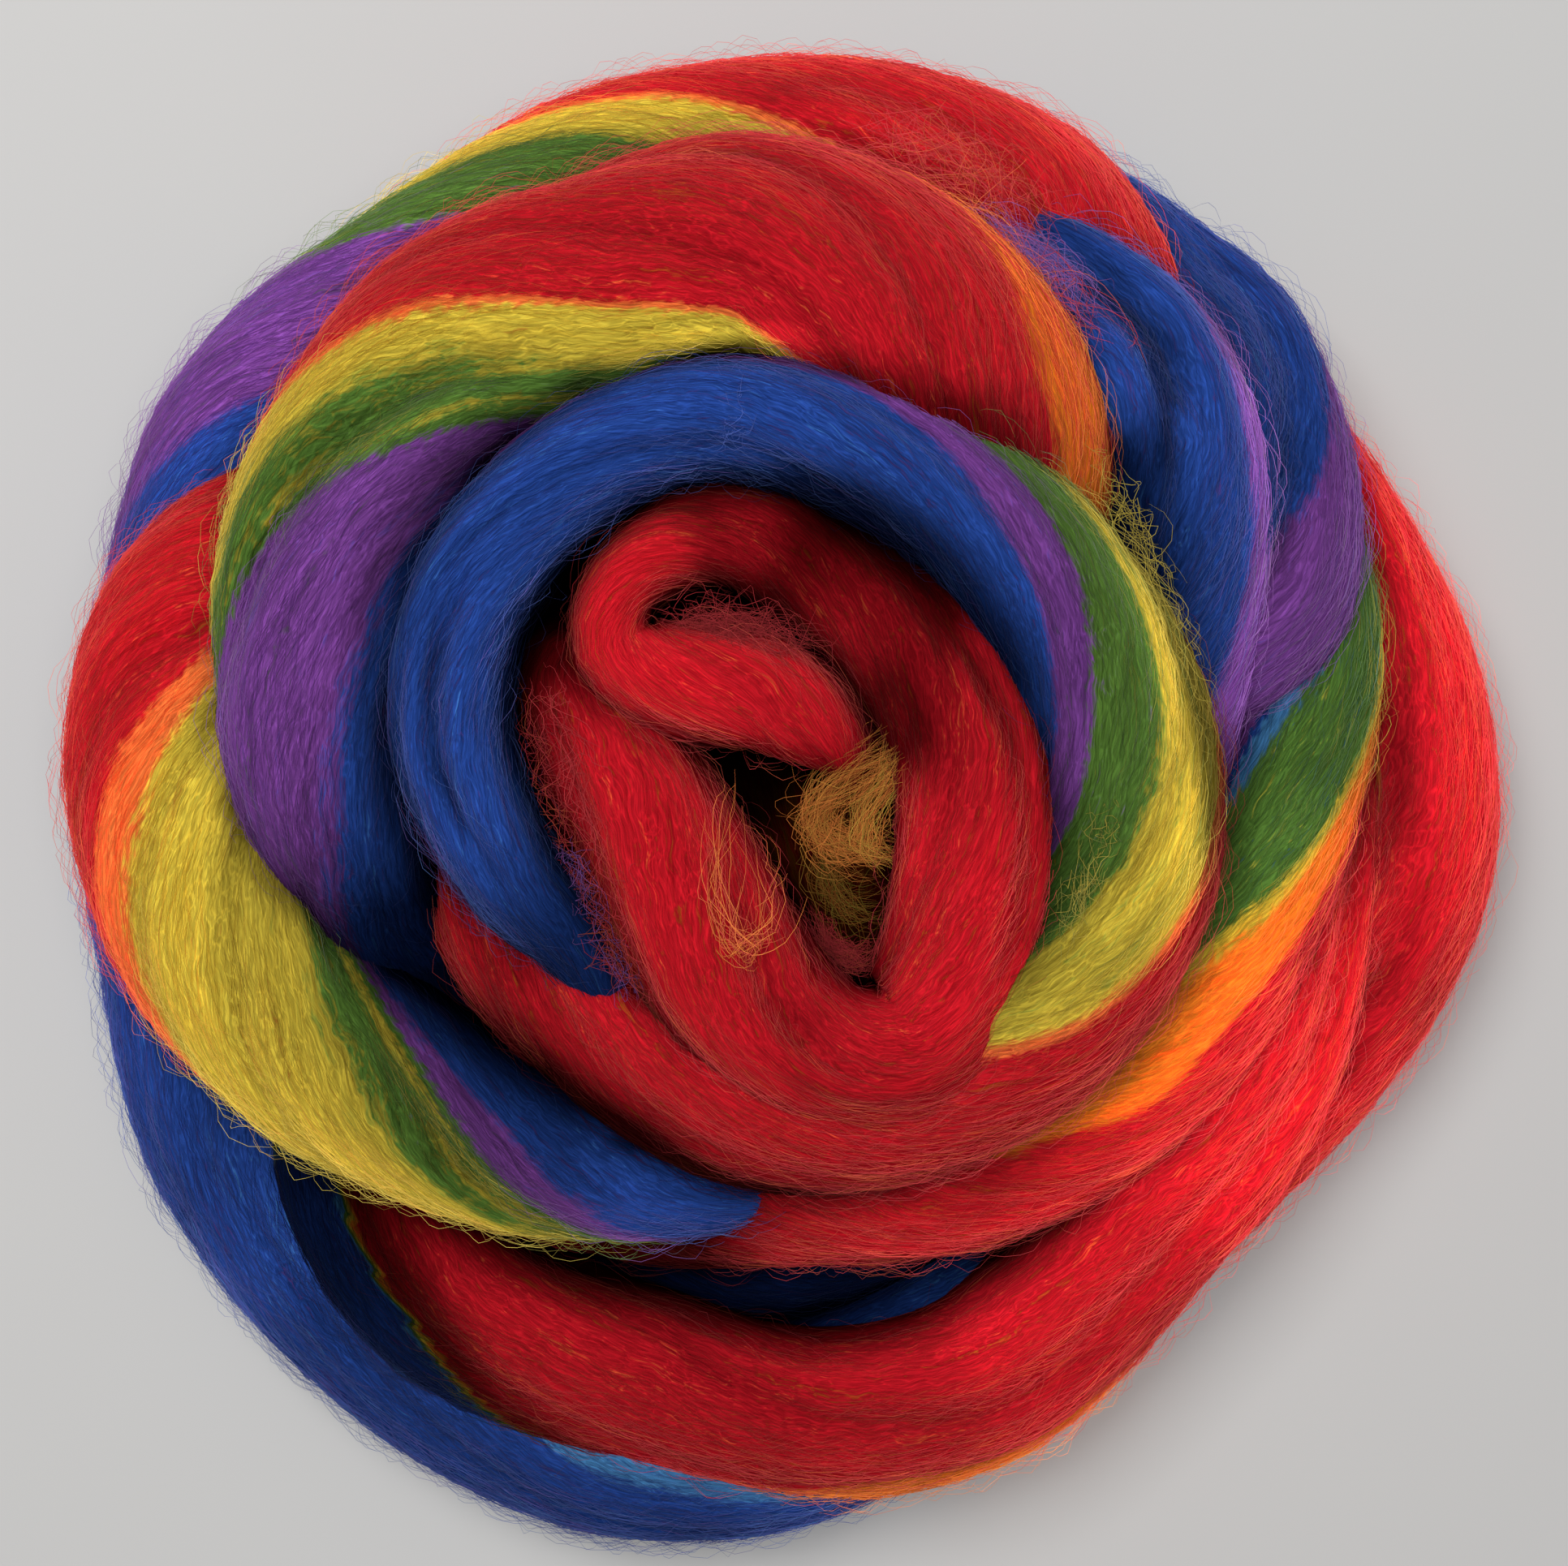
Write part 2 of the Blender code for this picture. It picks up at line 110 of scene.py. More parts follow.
# Turns from the outside in and from the table up
TURNS: tuple[Turn, ...] = (
    Turn("upper_right_blue", Exposure.SHOWN, -0.45, (
        (54, 1, 26, 26, 16, 0), (63, 13, 30, 31, 19, 8), (70, 22, 33, 33, 21, 15),
        (76, 32, 34, 34, 21, 20), (77, 43, 33, 34, 21, 22), (76, 54, 30, 34, 22, 22),
        (74, 64, 26, 34, 22, 20), (70, 72, 21, 34, 22, 14), (62, 79, 17, 34, 23, 8),
        (42, 93, 11, 34, 25, 0),
    ), (
        Crease(0.20, 0.75, -0.30, 0.80, 6.0, 3.0),
    )),
    Turn("floor_run_back", Exposure.TUCKED, -0.5, (
        (25, 97, 11, 34, 25, 0), (-16, 97, 11, 34, 25, 0), (-56, 82, 11, 34, 25, 0),
        (-84, 50, 11, 34, 25, 0), (-97, 12, 11, 35, 25, 0),
    )),
    Turn("outer_front_blue", Exposure.SHOWN, -0.5, (
        (-101, -8, 11, 36, 26, 0), (-99, -28, 11, 36, 26, 0), (-90, -63, 11, 36, 26, 0),
        (-67, -89, 11, 36, 26, 0), (-32, -109, 11, 36, 26, 0), (0, -109, 11, 35, 25, 0),
        (25, -97, 11, 33, 24, 0), (59, -71, 10, 34, 24, 0),
    )),
    Turn("outer_right_red", Exposure.SHOWN, -0.3, (
        (74, -57, 10, 35, 25, 0), (97, -30, 11, 36, 26, 0), (103, -5, 11, 36, 26, 0),
        (98, 21, 11, 36, 26, 0), (82, 51, 10, 35, 24, 0), (72, 64, 10, 34, 24, 0),
    ), (
        Crease(0.04, 0.60, 0.45, -0.30, 7.0, 2.6),
    )),
    Turn("floor_run_inner", Exposure.TUCKED, -0.8, (
        (59, 74, 10, 34, 24, 0), (23, 83, 10, 34, 24, 0), (-19, 77, 10, 34, 24, 0),
        (-53, 59, 10, 34, 24, 0), (-71, 28, 10, 34, 24, 0), (-76, -5, 10, 34, 24, 0),
        (-75, -38, 11, 34, 24, 0),
    )),
    Turn("lower_front_red", Exposure.SHOWN, -0.4, (
        (-74, -63, 16, 34, 21, 6), (-56, -86, 19, 33, 22, 15), (-23, -99, 19, 32, 22, 15),
        (5, -105, 18, 29, 22, 15), (34, -98, 18, 31, 22, 15), (61, -70, 19, 32, 22, 15),
        (79, -43, 20, 32, 22, 20), (85, -7, 19, 32, 21, 15),
    ), (
        Crease(0.50, 0.98, 0.10, 0.55, 6.0, 2.5),
    )),
    Turn("tuck_below_right", Exposure.TUCKED, -0.5, (
        (84, 9, 18, 32, 20, 10), (81, 25, 16, 32, 19, 5), (75, 42, 15, 32, 19, 0),
        (66, 55, 16, 32, 19, 0), (57, 67, 20, 33, 20, 5),
    )),
    Turn("outer_back_striped", Exposure.SHOWN, -0.9, (
        (50, 78, 25, 33, 21, 10), (38, 93, 29, 34, 22, 18), (17, 101, 29, 34, 22, 18),
        (-9, 102, 29, 34, 22, 18), (-33, 96, 29, 34, 22, 18), (-65, 76, 29, 34, 22, 18),
        (-89, 53, 28, 34, 22, 16), (-96, 24, 25, 33, 20, 10),
    )),
    Turn("tuck_below_left", Exposure.TUCKED, -0.6, (
        (-93, 6, 23, 33, 19, 5), (-90, -10, 22, 33, 18, 0), (-83, -26, 22, 33, 18, 0),
        (-72, -41, 22, 33, 18, 0), (-59, -52, 22, 33, 18, 0), (-43, -59, 23, 32, 19, 0),
    )),
    Turn("middle_front_green", Exposure.SHOWN, -0.8, (
        (-28, -63, 25, 31, 20, 5), (2, -64, 28, 31, 22, 15), (29, -62, 28, 31, 22, 15),
        (54, -49, 29, 31, 22, 15), (70, -27, 30, 31, 22, 15), (80, 1, 29, 31, 22, 15),
        (83, 26, 25, 31, 21, 10), (73, 51, 23, 31, 19, 0),
    )),
    Turn("tuck_below_back", Exposure.TUCKED, -0.8, (
        (63, 61, 26, 32, 19, 0), (35, 72, 30, 33, 20, 0), (-1, 75, 31, 33, 20, 0),
        (-37, 67, 31, 33, 20, 0), (-65, 49, 33, 33, 20, 4),
    )),
    Turn("left_yellow", Exposure.SHOWN, -1.15, (
        (-76, 43, 34, 33, 20, 8), (-93, 26, 37, 35, 22, 16), (-99, 5, 37, 35, 22, 18),
        (-93, -20, 37, 36, 22, 18), (-71, -44, 37, 35, 22, 14), (-40, -59, 36, 30, 22, 10),
        (-15, -63, 33, 23, 19, 4), (-3, -62, 30, 20, 17, 0),
    ), (
        Crease(0.50, 0.79, -0.65, 0.90, 6.0, 3.0),
    )),
    Turn("tuck_below_front", Exposure.TUCKED, -0.5, (
        (10, -57, 27, 22, 17, 0), (25, -51, 26, 25, 18, 0), (38, -41, 27, 27, 19, 0),
        (48, -28, 28, 28, 19, 0), (54, -14, 30, 29, 20, 2),
    )),
    Turn("right_blue", Exposure.SHOWN, -0.35, (
        (57, 1, 34, 30, 20, 5), (59, 14, 38, 31, 21, 12), (62, 27, 40, 32, 21, 18),
        (63, 39, 41, 32, 22, 20), (62, 50, 41, 32, 22, 20), (59, 59, 41, 32, 22, 20),
        (54, 67, 40, 32, 22, 18), (47, 73, 38, 31, 21, 14), (37, 79, 35, 30, 20, 8),
    ), (
        Crease(0.50, 0.92, 0.00, 0.65, 6.0, 4.5),
        Crease(0.25, 0.86, -0.55, 0.20, 3.0, 1.8),
    )),
    Turn("low_inner_loop", Exposure.TUCKED, -1.0, (
        (23, 81, 31, 30, 19, 0), (-12, 72, 21, 31, 20, 0), (-41, 46, 12, 32, 24, 0),
        (-52, 5, 10, 32, 24, 0), (-40, -54, 10, 33, 24, 0), (-8, -76, 10, 34, 24, 0),
        (40, -54, 10, 33, 24, 0), (50, -10, 10, 32, 24, 0),
    )),
    Turn("low_heart_loop", Exposure.TUCKED, -1.0, (
        (32, 28, 10, 32, 24, 0), (-4, 34, 10, 32, 24, 0), (-24, 10, 10, 32, 24, 0),
        (-16, -18, 10, 32, 24, 0), (10, -26, 12, 32, 24, 0), (32, -10, 20, 32, 22, 0),
        (42, 14, 31, 31, 21, 0),
    )),
    Turn("top_back_red", Exposure.SHOWN, -0.9, (
        (42, 33, 39, 32, 21, 5), (35, 53, 49, 36, 23, 18), (18, 74, 51, 39, 24, 24),
        (-6, 83, 51, 39, 24, 24), (-28, 77, 51, 39, 24, 24), (-52, 66, 51, 39, 24, 24),
        (-68, 43, 51, 37, 24, 24), (-72, 21, 50, 35, 24, 22), (-70, 0, 47, 32, 24, 18),
        (-64, -19, 38, 26, 20, 8),
    ), (
        Crease(0.45, 0.81, -0.95, 0.85, 7.0, 4.0),
    )),
    Turn("middle_inner_loop", Exposure.TUCKED, -1.0, (
        (-58, -28, 32, 24, 18, 0), (-32, -46, 26, 28, 18, 0), (6, -48, 26, 28, 18, 0),
        (34, -23, 28, 28, 18, 0), (31, 14, 30, 28, 18, 0), (2, 36, 31, 28, 18, 0),
        (-30, 30, 31, 27, 18, 0), (-47, 5, 32, 25, 18, 0),
    )),
    Turn("top_ring_blue", Exposure.SHOWN, -1.35, (
        (-49, -6, 34, 25, 18, 0), (-47, -16, 37, 26, 20, 5), (-39, -28, 40, 27, 21, 10),
        (-28, -38, 42, 28, 22, 14), (-8, -48, 45, 29, 22, 14), (15, -49, 46, 29, 23, 14),
        (39, -37, 48, 29, 23, 14), (52, -13, 50, 30, 23, 14), (50, 12, 52, 29, 24, 14),
        (37, 34, 53, 27, 25, 12), (15, 50, 53, 23, 26, 8), (-10, 56, 53, 20, 26, 5),
        (-32, 47, 53, 20, 26, 5), (-48, 28, 53, 20, 26, 5), (-50, 6, 52, 20, 26, 5),
        (-40, -15, 49, 19, 24, 0), (-32, -23, 46, 18, 22, 0), (-25, -32, 41, 17, 20, 0),
    ), (
        Crease(0.76, 0.90, 0.00, 0.25, 5.0, 3.0),
        Crease(0.42, 0.62, -0.70, 0.50, 3.0, 1.6),
    )),
    Turn("heart_underturn", Exposure.SHOWN, -0.9, (
        (-17, -41, 35, 20, 18, 0), (-5, -46, 31, 24, 18, 0), (10, -42, 28, 26, 18, 0),
        (18, -30, 28, 26, 18, 0), (14, -15, 29, 26, 18, 0), (3, -2, 31, 25, 18, 0),
        (-10, 10, 34, 22, 17, 0), (-23, 19, 39, 18, 16, 0),
    )),
    Turn("heart_ring_red", Exposure.SHOWN, -0.7, (
        (-34, 21, 44, 14, 15, 0), (-35, 15, 47, 17, 17, 0), (-30, 6, 49, 23, 19, -6),
        (-23, -4, 50, 28, 21, -10), (-9, -28, 50, 29, 22, -12), (0, -38, 50, 26, 22, -12),
        (11, -43, 50, 24, 22, -12), (22, -40, 50, 25, 22, -12), (30, -18, 51, 27, 22, -12),
        (29, 6, 51, 26, 22, -10), (17, 24, 49, 24, 21, -4), (-2, 38, 48, 20, 19, 0),
    ), (
        Crease(0.50, 0.82, 0.60, 0.55, 4.0, 2.5),
        Crease(0.18, 0.48, -0.50, 0.45, 3.0, 1.5),
    )),
    Turn("heart_hairpin", Exposure.SHOWN, -0.6, (
        (-12, 39, 50, 18, 18, 0), (-21, 35, 52, 16, 18, 0), (-26, 28, 53, 14, 18, 0),
        (-26, 21, 53, 15, 18, 0), (-19, 17, 53, 18, 18, 0), (-11, 16, 53, 20, 18, 0),
        (-3, 15, 52, 20, 18, 0), (5, 11, 50, 17, 17, 0), (11, 6, 46, 12, 14, 0), (14, 0, 41, 7, 10, 0),
    )),
)


@dataclass(frozen=True)
class Edge:
    """One edge between two stripes, which the twist carries across the top of a turn.

    dye: the dye on the inner side of the edge. line: its places, each a share of the
    turn's length and a share of the way round, from 0 at the underside by 0.25 at the
    outer edge and 0.5 at the top to 0.75 at the inner edge. feather: how far the two
    dyes blend, as a share of the way round.
    """

    dye: float
    line: tuple[Row, ...]
    feather: float = 0.02


@dataclass(frozen=True)
class Shade:
    """Painted shade where a side of a turn lies deep between its neighbours and looks darker.

    deep: share of the light painted away there, below 0 for light painted on a side that catches it.
    line: where it begins, as for an edge; the shade covers only the line's own length.
    feather: share of the way round over which it sets in. inner: whether it lies on the
    inner side of the line. reach: share of the way round that it covers, or None for
    the whole side.
    """

    deep: float
    line: tuple[Row, ...]
    feather: float = 0.1
    inner: bool = True
    reach: float | None = None


@dataclass(frozen=True)
class Stripes:
    """Dyes of one turn: one at its outer side, then one behind each edge; and its painted light and
    shade.

    last: the dye at the turn's end, where the whole strand changes along a buried turn.
    tone: painted light and shade on this stretch: 1 for the dyes as they are,
    more for painted light and less for painted shade.
    """

    dye: float
    edges: tuple[Edge, ...] = ()
    last: float | None = None
    tone: float = 1.0
    shades: tuple[Shade, ...] = ()


# Dyes run round a wheel of ten: 0 red, 1 orange, 2 yellow, 3 green, 4 purple, 5 blue,
# 6 teal, 7 green, 8 yellow, 9 orange, 10 red again. The numbers climb on from turn to
# turn, so that the strand changes colour only where it should.
# tone and shades paint light and shade onto the dyes
STRIPES: dict[str, Stripes] = {
    "upper_right_blue": Stripes(4, (
        Edge(5, ((0.20, 0.60), (0.33, 0.51), (0.50, 0.37), (0.62, 0.26)), 0.03),
    )),
    "floor_run_back": Stripes(5),
    "outer_front_blue": Stripes(5, (
        Edge(5.8, ((0.36, 0.53), (0.50, 0.48), (0.60, 0.43), (0.68, 0.36)), 0.03),
        Edge(5.1, ((0.36, 0.56), (0.50, 0.52), (0.60, 0.475), (0.70, 0.41)), 0.03),
        Edge(10, ((0.84, 0.80), (0.95, 0.20)), 0.15),
    ), shades=(
        Shade(0.5, ((0.66, 0.52), (0.72, 0.52), (0.80, 0.52))),
        Shade(0.35, ((0.28, 0.52), (0.40, 0.51), (0.52, 0.475), (0.64, 0.44)), 0.15, inner=False),
    )),
    "outer_right_red": Stripes(10, tone=1.6),
    "floor_run_inner": Stripes(10),
    "lower_front_red": Stripes(5, (
        Edge(9.1, (
            (0.0, 0.51), (0.06, 0.50), (0.11, 0.49), (0.14, 0.45), (0.185, 0.385), (0.24, 0.32),
            (0.30, 0.24), (0.36, -0.20),
        ), 0.003),
        Edge(10, (
            (0.0, 0.51), (0.06, 0.50), (0.11, 0.49), (0.14, 0.45), (0.185, 0.385), (0.24, 0.35),
            (0.28, 0.36), (0.44, 0.385), (0.54, 0.33), (0.62, 0.20), (0.86, 0.20), (0.93, 0.32),
            (1.0, 0.40),
        ), 0.03),
    ), shades=(
        Shade(0.35, ((0.0, 0.10), (0.06, 0.30), (0.13, 0.62)), 0.2),
        Shade(0.45, ((0.10, 0.60), (0.30, 0.66), (0.52, 0.66), (0.64, 0.62))),
        Shade(0.18, ((0.08, 0.40), (0.20, 0.40), (0.40, 0.40)), 0.15),
        Shade(-0.35, ((0.46, 0.10), (0.60, 0.10), (0.94, 0.10))),
        Shade(-0.28, ((0.64, 0.10), (0.75, 0.10), (0.92, 0.10))),
        Shade(0.85, (
            (0.0, 0.58), (0.06, 0.57), (0.11, 0.56), (0.14, 0.52), (0.185, 0.455), (0.24, 0.40),
            (0.32, 0.32),
        ), inner=False),
    )),
    "tuck_below_right": Stripes(10),
    "outer_back_striped": Stripes(10, (
        Edge(12, ((0.20, 0.57), (0.28, 0.50), (0.35, 0.43), (0.44, 0.36), (0.52, 0.28)), 0.03),
        Edge(13, ((0.30, 0.57), (0.36, 0.52), (0.42, 0.47), (0.50, 0.40), (0.56, 0.34), (0.62, 0.27))),
        Edge(14, ((0.44, 0.57), (0.50, 0.52), (0.56, 0.47), (0.62, 0.40), (0.68, 0.30))),
        Edge(15, ((0.64, 0.57), (0.70, 0.53), (0.76, 0.48), (0.82, 0.40), (0.88, 0.30)), 0.03),
    ), tone=1.3),
    "tuck_below_left": Stripes(15, last=20),
    "middle_front_green": Stripes(20, (
        Edge(19, (
            (0.28, 0.53), (0.40, 0.485), (0.50, 0.45), (0.60, 0.40), (0.68, 0.34), (0.75, 0.27),
        ), 0.03),
        Edge(18, ((0.50, 0.56), (0.58, 0.475), (0.62, 0.445), (0.68, 0.388), (0.76, 0.30)), 0.015),
        Edge(17, ((0.50, 0.585), (0.56, 0.525), (0.62, 0.47), (0.70, 0.395), (0.80, 0.31))),
        Edge(16, ((0.60, 0.64), (0.66, 0.59), (0.72, 0.53), (0.80, 0.45), (0.86, 0.38)), 0.015),
        Edge(14, ((0.62, 0.66), (0.69, 0.605), (0.76, 0.545), (0.84, 0.46), (0.9, 0.38))),
    ), shades=(
        Shade(0.85, ((0.0, 0.10), (0.07, 0.10), (0.13, 0.10))),
        Shade(-0.35, ((0.10, 0.10), (0.35, 0.10), (0.68, 0.10))),
        Shade(-0.25, ((0.16, 0.10), (0.35, 0.10), (0.58, 0.10))),
    )),
    "tuck_below_back": Stripes(14, last=20),
    "left_yellow": Stripes(20, (
        Edge(21, ((0.10, 0.60), (0.20, 0.52), (0.28, 0.44), (0.36, 0.36), (0.44, 0.28))),
        Edge(22, ((0.15, 0.62), (0.22, 0.56), (0.30, 0.49), (0.38, 0.41), (0.45, 0.33)), 0.025),
        Edge(23, (
            (0.44, 0.68), (0.50, 0.60), (0.58, 0.52), (0.66, 0.43), (0.72, 0.37), (0.78, 0.30),
        ), 0.07),
        Edge(22.5, (
            (0.49, 0.68), (0.54, 0.615), (0.59, 0.555), (0.65, 0.48), (0.71, 0.405), (0.78, 0.325),
        ), 0.035),
        Edge(24, (
            (0.52, 0.69), (0.56, 0.645), (0.61, 0.59), (0.67, 0.515), (0.73, 0.44), (0.79, 0.36),
        ), 0.03),
        Edge(25, ((0.54, 0.71), (0.62, 0.63), (0.70, 0.555), (0.78, 0.45), (0.84, 0.34)), 0.025),
    ), tone=1.2, shades=(
        Shade(0.92, ((0.48, 0.68), (0.56, 0.64), (0.66, 0.58), (0.74, 0.55), (0.88, 0.55)), 0.27),
        Shade(0.33, (
            (0.30, 0.62), (0.42, 0.55), (0.52, 0.475), (0.62, 0.42), (0.72, 0.38), (0.80, 0.34),
        ), 0.12),
    )),
    "tuck_below_front": Stripes(25),
    "right_blue": Stripes(24, (
        Edge(25, (
            (0.0, 0.50), (0.10, 0.45), (0.20, 0.435), (0.45, 0.43), (0.60, 0.39), (0.70, 0.32),
            (1.0, 0.28),
        ), 0.04),
    ), tone=1.1, shades=(
        Shade(-0.85, ((0.08, 0.45), (0.20, 0.435), (0.45, 0.43), (0.60, 0.39)), 0.05, inner=False),
        Shade(0.7, (
            (0.44, 0.545), (0.52, 0.53), (0.59, 0.483), (0.67, 0.458), (0.80, 0.44),
        ), 0.03, reach=0.045),
        Shade(0.85, ((0.10, 0.53), (0.25, 0.51), (0.37, 0.53), (0.50, 0.56), (0.60, 0.62)), 0.14),
    )),
    "low_inner_loop": Stripes(25, shades=(Shade(0.75, ((0.45, 0.30), (0.60, 0.30), (0.80, 0.30))),)),
    "low_heart_loop": Stripes(25, last=29.4),
    "top_back_red": Stripes(29.4, (
        Edge(30, ((0.0, 0.58), (0.06, 0.53), (0.12, 0.48), (0.20, 0.39), (0.25, 0.31)), 0.05),
        Edge(32, (
            (0.22, 0.75), (0.30, 0.695), (0.38, 0.635), (0.46, 0.56), (0.54, 0.485), (0.60, 0.405),
            (0.65, 0.33), (0.70, 0.25),
        )),
        Edge(33, (
            (0.36, 0.75), (0.44, 0.68), (0.50, 0.605), (0.56, 0.54), (0.62, 0.465), (0.68, 0.39),
            (0.74, 0.33), (0.80, 0.26),
        ), 0.05),
        Edge(32.45, (
            (0.44, 0.74), (0.50, 0.665), (0.56, 0.60), (0.62, 0.52), (0.68, 0.44), (0.80, 0.30),
        ), 0.04),
        Edge(33.1, (
            (0.44, 0.775), (0.50, 0.70), (0.56, 0.63), (0.62, 0.545), (0.68, 0.46), (0.80, 0.315),
        ), 0.03),
        Edge(34, (
            (0.48, 0.75), (0.56, 0.655), (0.62, 0.565), (0.68, 0.475), (0.73, 0.40), (0.78, 0.34),
            (0.84, 0.28),
        )),
        Edge(35, (
            (0.60, 0.745), (0.68, 0.69), (0.78, 0.61), (0.86, 0.545), (0.92, 0.47), (1.0, 0.38),
        ), 0.10),
    ), shades=(
        Shade(0.55, ((0.34, 0.76), (0.45, 0.67), (0.62, 0.62), (0.80, 0.60), (1.0, 0.56))),
        Shade(0.75, ((0.04, 0.48), (0.10, 0.49), (0.136, 0.53), (0.16, 0.59), (0.24, 0.68))),
        Shade(-2.2, ((0.24, 0.67), (0.34, 0.69), (0.46, 0.67)), 0.06, reach=0.1),
        Shade(0.8, ((0.88, 0.10), (0.94, 0.10), (1.0, 0.10))),
    )),
    "middle_inner_loop": Stripes(35, last=40, shades=(
        Shade(0.9, ((0.0, 0.10), (0.5, 0.10), (1.0, 0.10))),
    )),
    "top_ring_blue": Stripes(40, (
        Edge(42.2, (
            (0.24, 0.62), (0.28, 0.54), (0.31, 0.49), (0.34, 0.45), (0.38, 0.39), (0.42, 0.325),
            (0.46, 0.26),
        ), 0.05),
        Edge(43, (
            (0.30, 0.66), (0.34, 0.59), (0.38, 0.52), (0.42, 0.48), (0.46, 0.443), (0.50, 0.40),
            (0.56, 0.33),
        )),
        Edge(44, (
            (0.36, 0.70), (0.40, 0.63), (0.44, 0.57), (0.48, 0.51), (0.53, 0.44), (0.58, 0.38),
            (0.66, 0.33), (0.80, 0.27),
        )),
        Edge(45, (
            (0.40, 0.74), (0.44, 0.66), (0.49, 0.58), (0.54, 0.51), (0.60, 0.43), (0.68, 0.37),
            (0.80, 0.33), (0.90, 0.28),
        ), 0.03),
    ), shades=(
        Shade(0.8, ((0.26, 0.57), (0.34, 0.595), (0.40, 0.61), (0.45, 0.65)), 0.14),
        Shade(0.8, (
            (0.42, 0.67), (0.47, 0.63), (0.53, 0.60), (0.58, 0.59), (0.62, 0.63), (0.66, 0.69),
        )),
        Shade(0.8, ((0.66, 0.70), (0.74, 0.70), (0.80, 0.66), (0.86, 0.60), (0.92, 0.53), (1.0, 0.49))),
        Shade(0.7, ((0.87, 0.10), (0.93, 0.10), (1.0, 0.10))),
        Shade(0.34, ((0.77, 0.485), (0.82, 0.472), (0.86, 0.462), (0.91, 0.455)), 0.02, reach=0.025),
        Shade(-0.62, (
            (0.34, 0.56), (0.38, 0.52), (0.42, 0.49), (0.46, 0.46), (0.50, 0.43),
        ), 0.08, inner=False),
        Shade(0.8, (
            (0.34, 0.36), (0.373, 0.40), (0.396, 0.415), (0.42, 0.42), (0.46, 0.38), (0.50, 0.34),
        ), 0.05, inner=False),
        Shade(0.96, (
            (0.05, 0.47), (0.10, 0.45), (0.144, 0.44), (0.174, 0.39), (0.20, 0.36), (0.25, 0.30),
        ), inner=False),
    )),
    "heart_underturn": Stripes(45, (
        Edge(49.5, ((0.14, 0.80), (0.26, 0.20)), 0.1),
    ), tone=0.3, shades=(
        Shade(0.85, ((0.60, 0.10), (0.66, 0.10), (1.0, 0.10)), 0.2),
    )),
    "heart_ring_red": Stripes(50, shades=(
        Shade(0.7, ((0.0, 0.34), (0.15, 0.36), (0.30, 0.32), (0.42, 0.28)), 0.1, inner=False),
        Shade(0.4, ((0.05, 0.62), (0.20, 0.64), (0.32, 0.62), (0.42, 0.66)), 0.14),
        Shade(0.5, (
            (0.68, 0.54), (0.73, 0.52), (0.78, 0.45), (0.84, 0.20), (0.93, 0.20), (0.955, 0.20),
        )),
        Shade(0.6, ((0.68, 0.535), (0.74, 0.525), (0.79, 0.51), (0.84, 0.50)), 0.08),
        Shade(0.5, ((0.88, 0.40), (0.94, 0.38), (1.0, 0.40)), 0.12),
        Shade(0.4, ((0.87, 0.38), (0.93, 0.38), (0.97, 0.40)), 0.12),
        Shade(0.65, ((0.70, 0.34), (0.80, 0.44), (0.88, 0.50), (0.96, 0.50)), 0.2, inner=False),
        Shade(-0.18, ((0.46, 0.38), (0.56, 0.38), (0.68, 0.38)), 0.1),
    )),
    "heart_hairpin": Stripes(50, tone=1.15, shades=(
        Shade(0.5, ((0.0, 0.40), (0.04, 0.40), (0.10, 0.40)), 0.12),
        Shade(0.6, ((0.20, 0.66), (0.55, 0.66), (0.90, 0.66))),
        Shade(0.6, ((0.86, 0.10), (0.93, 0.10), (1.0, 0.10))),
    )),
}

# The strand is cut only where other turns bury it
RUNS: dict[str, tuple[str, ...]] = {
    "outer_turn": ("upper_right_blue", "floor_run_back", "outer_front_blue", "outer_right_red"),
    "striped_turn": (
        "floor_run_inner", "lower_front_red", "tuck_below_right", "outer_back_striped",
        "tuck_below_left",
    ),
    "left_turn": ("middle_front_green", "tuck_below_back", "left_yellow", "tuck_below_front"),
    "right_turn": ("right_blue", "low_inner_loop", "low_heart_loop"),
    "upper_turn": ("top_back_red", "middle_inner_loop"),
    "top_ring": ("top_ring_blue", "heart_underturn"),
    "heart": ("heart_ring_red", "heart_hairpin"),
}


def to_linear(hex_colour: str) -> tuple[float, float, float, float]:
    """Linear colour of an sRGB hex value.

    Args:
        hex_colour: such as "#C51A27".

    Returns:
        Red, green, blue and an alpha of 1.
    """
    channels = [int(hex_colour[i : i + 2], 16) / 255.0 for i in (1, 3, 5)]
    linear = [c / 12.92 if c <= 0.04045 else ((c + 0.055) / 1.055) ** 2.4 for c in channels]
    return (linear[0], linear[1], linear[2], 1.0)


def smooth_step(share: np.ndarray) -> np.ndarray:
    """Ease shares from 0 to 1 in and out."""
    return share * share * (3.0 - 2.0 * share)


def add_node(
    tree: bpy.types.NodeTree,
    kind: str,
    inputs: dict[str, object] | tuple[object, ...] = (),
    **settings: object,
) -> Socket | None:
    """Add one node with its settings, and its inputs set or linked.

    Args:
        tree: the node tree.
        kind: the node's type name.
        inputs: a socket to link from or a plain value, by the input's name or in order.
        settings: attributes of the node.

    Returns:
        Its first output in use. That socket's node leads to the other outputs.
    """
    node = tree.nodes.new(kind)
    for name, value in settings.items():
        setattr(node, name, value)
    # a node keeps one input of a name for each data type, and uses one of them
    used = [socket for socket in node.inputs if socket.enabled]
    pairs = inputs.items() if isinstance(inputs, dict) else enumerate(inputs)
    for key, value in pairs:
        socket = used[key] if isinstance(key, int) else next(s for s in used if s.name == key)
        if isinstance(value, Socket):
            tree.links.new(value, socket)
        else:
            socket.default_value = value
    return next((socket for socket in node.outputs if socket.enabled), None)


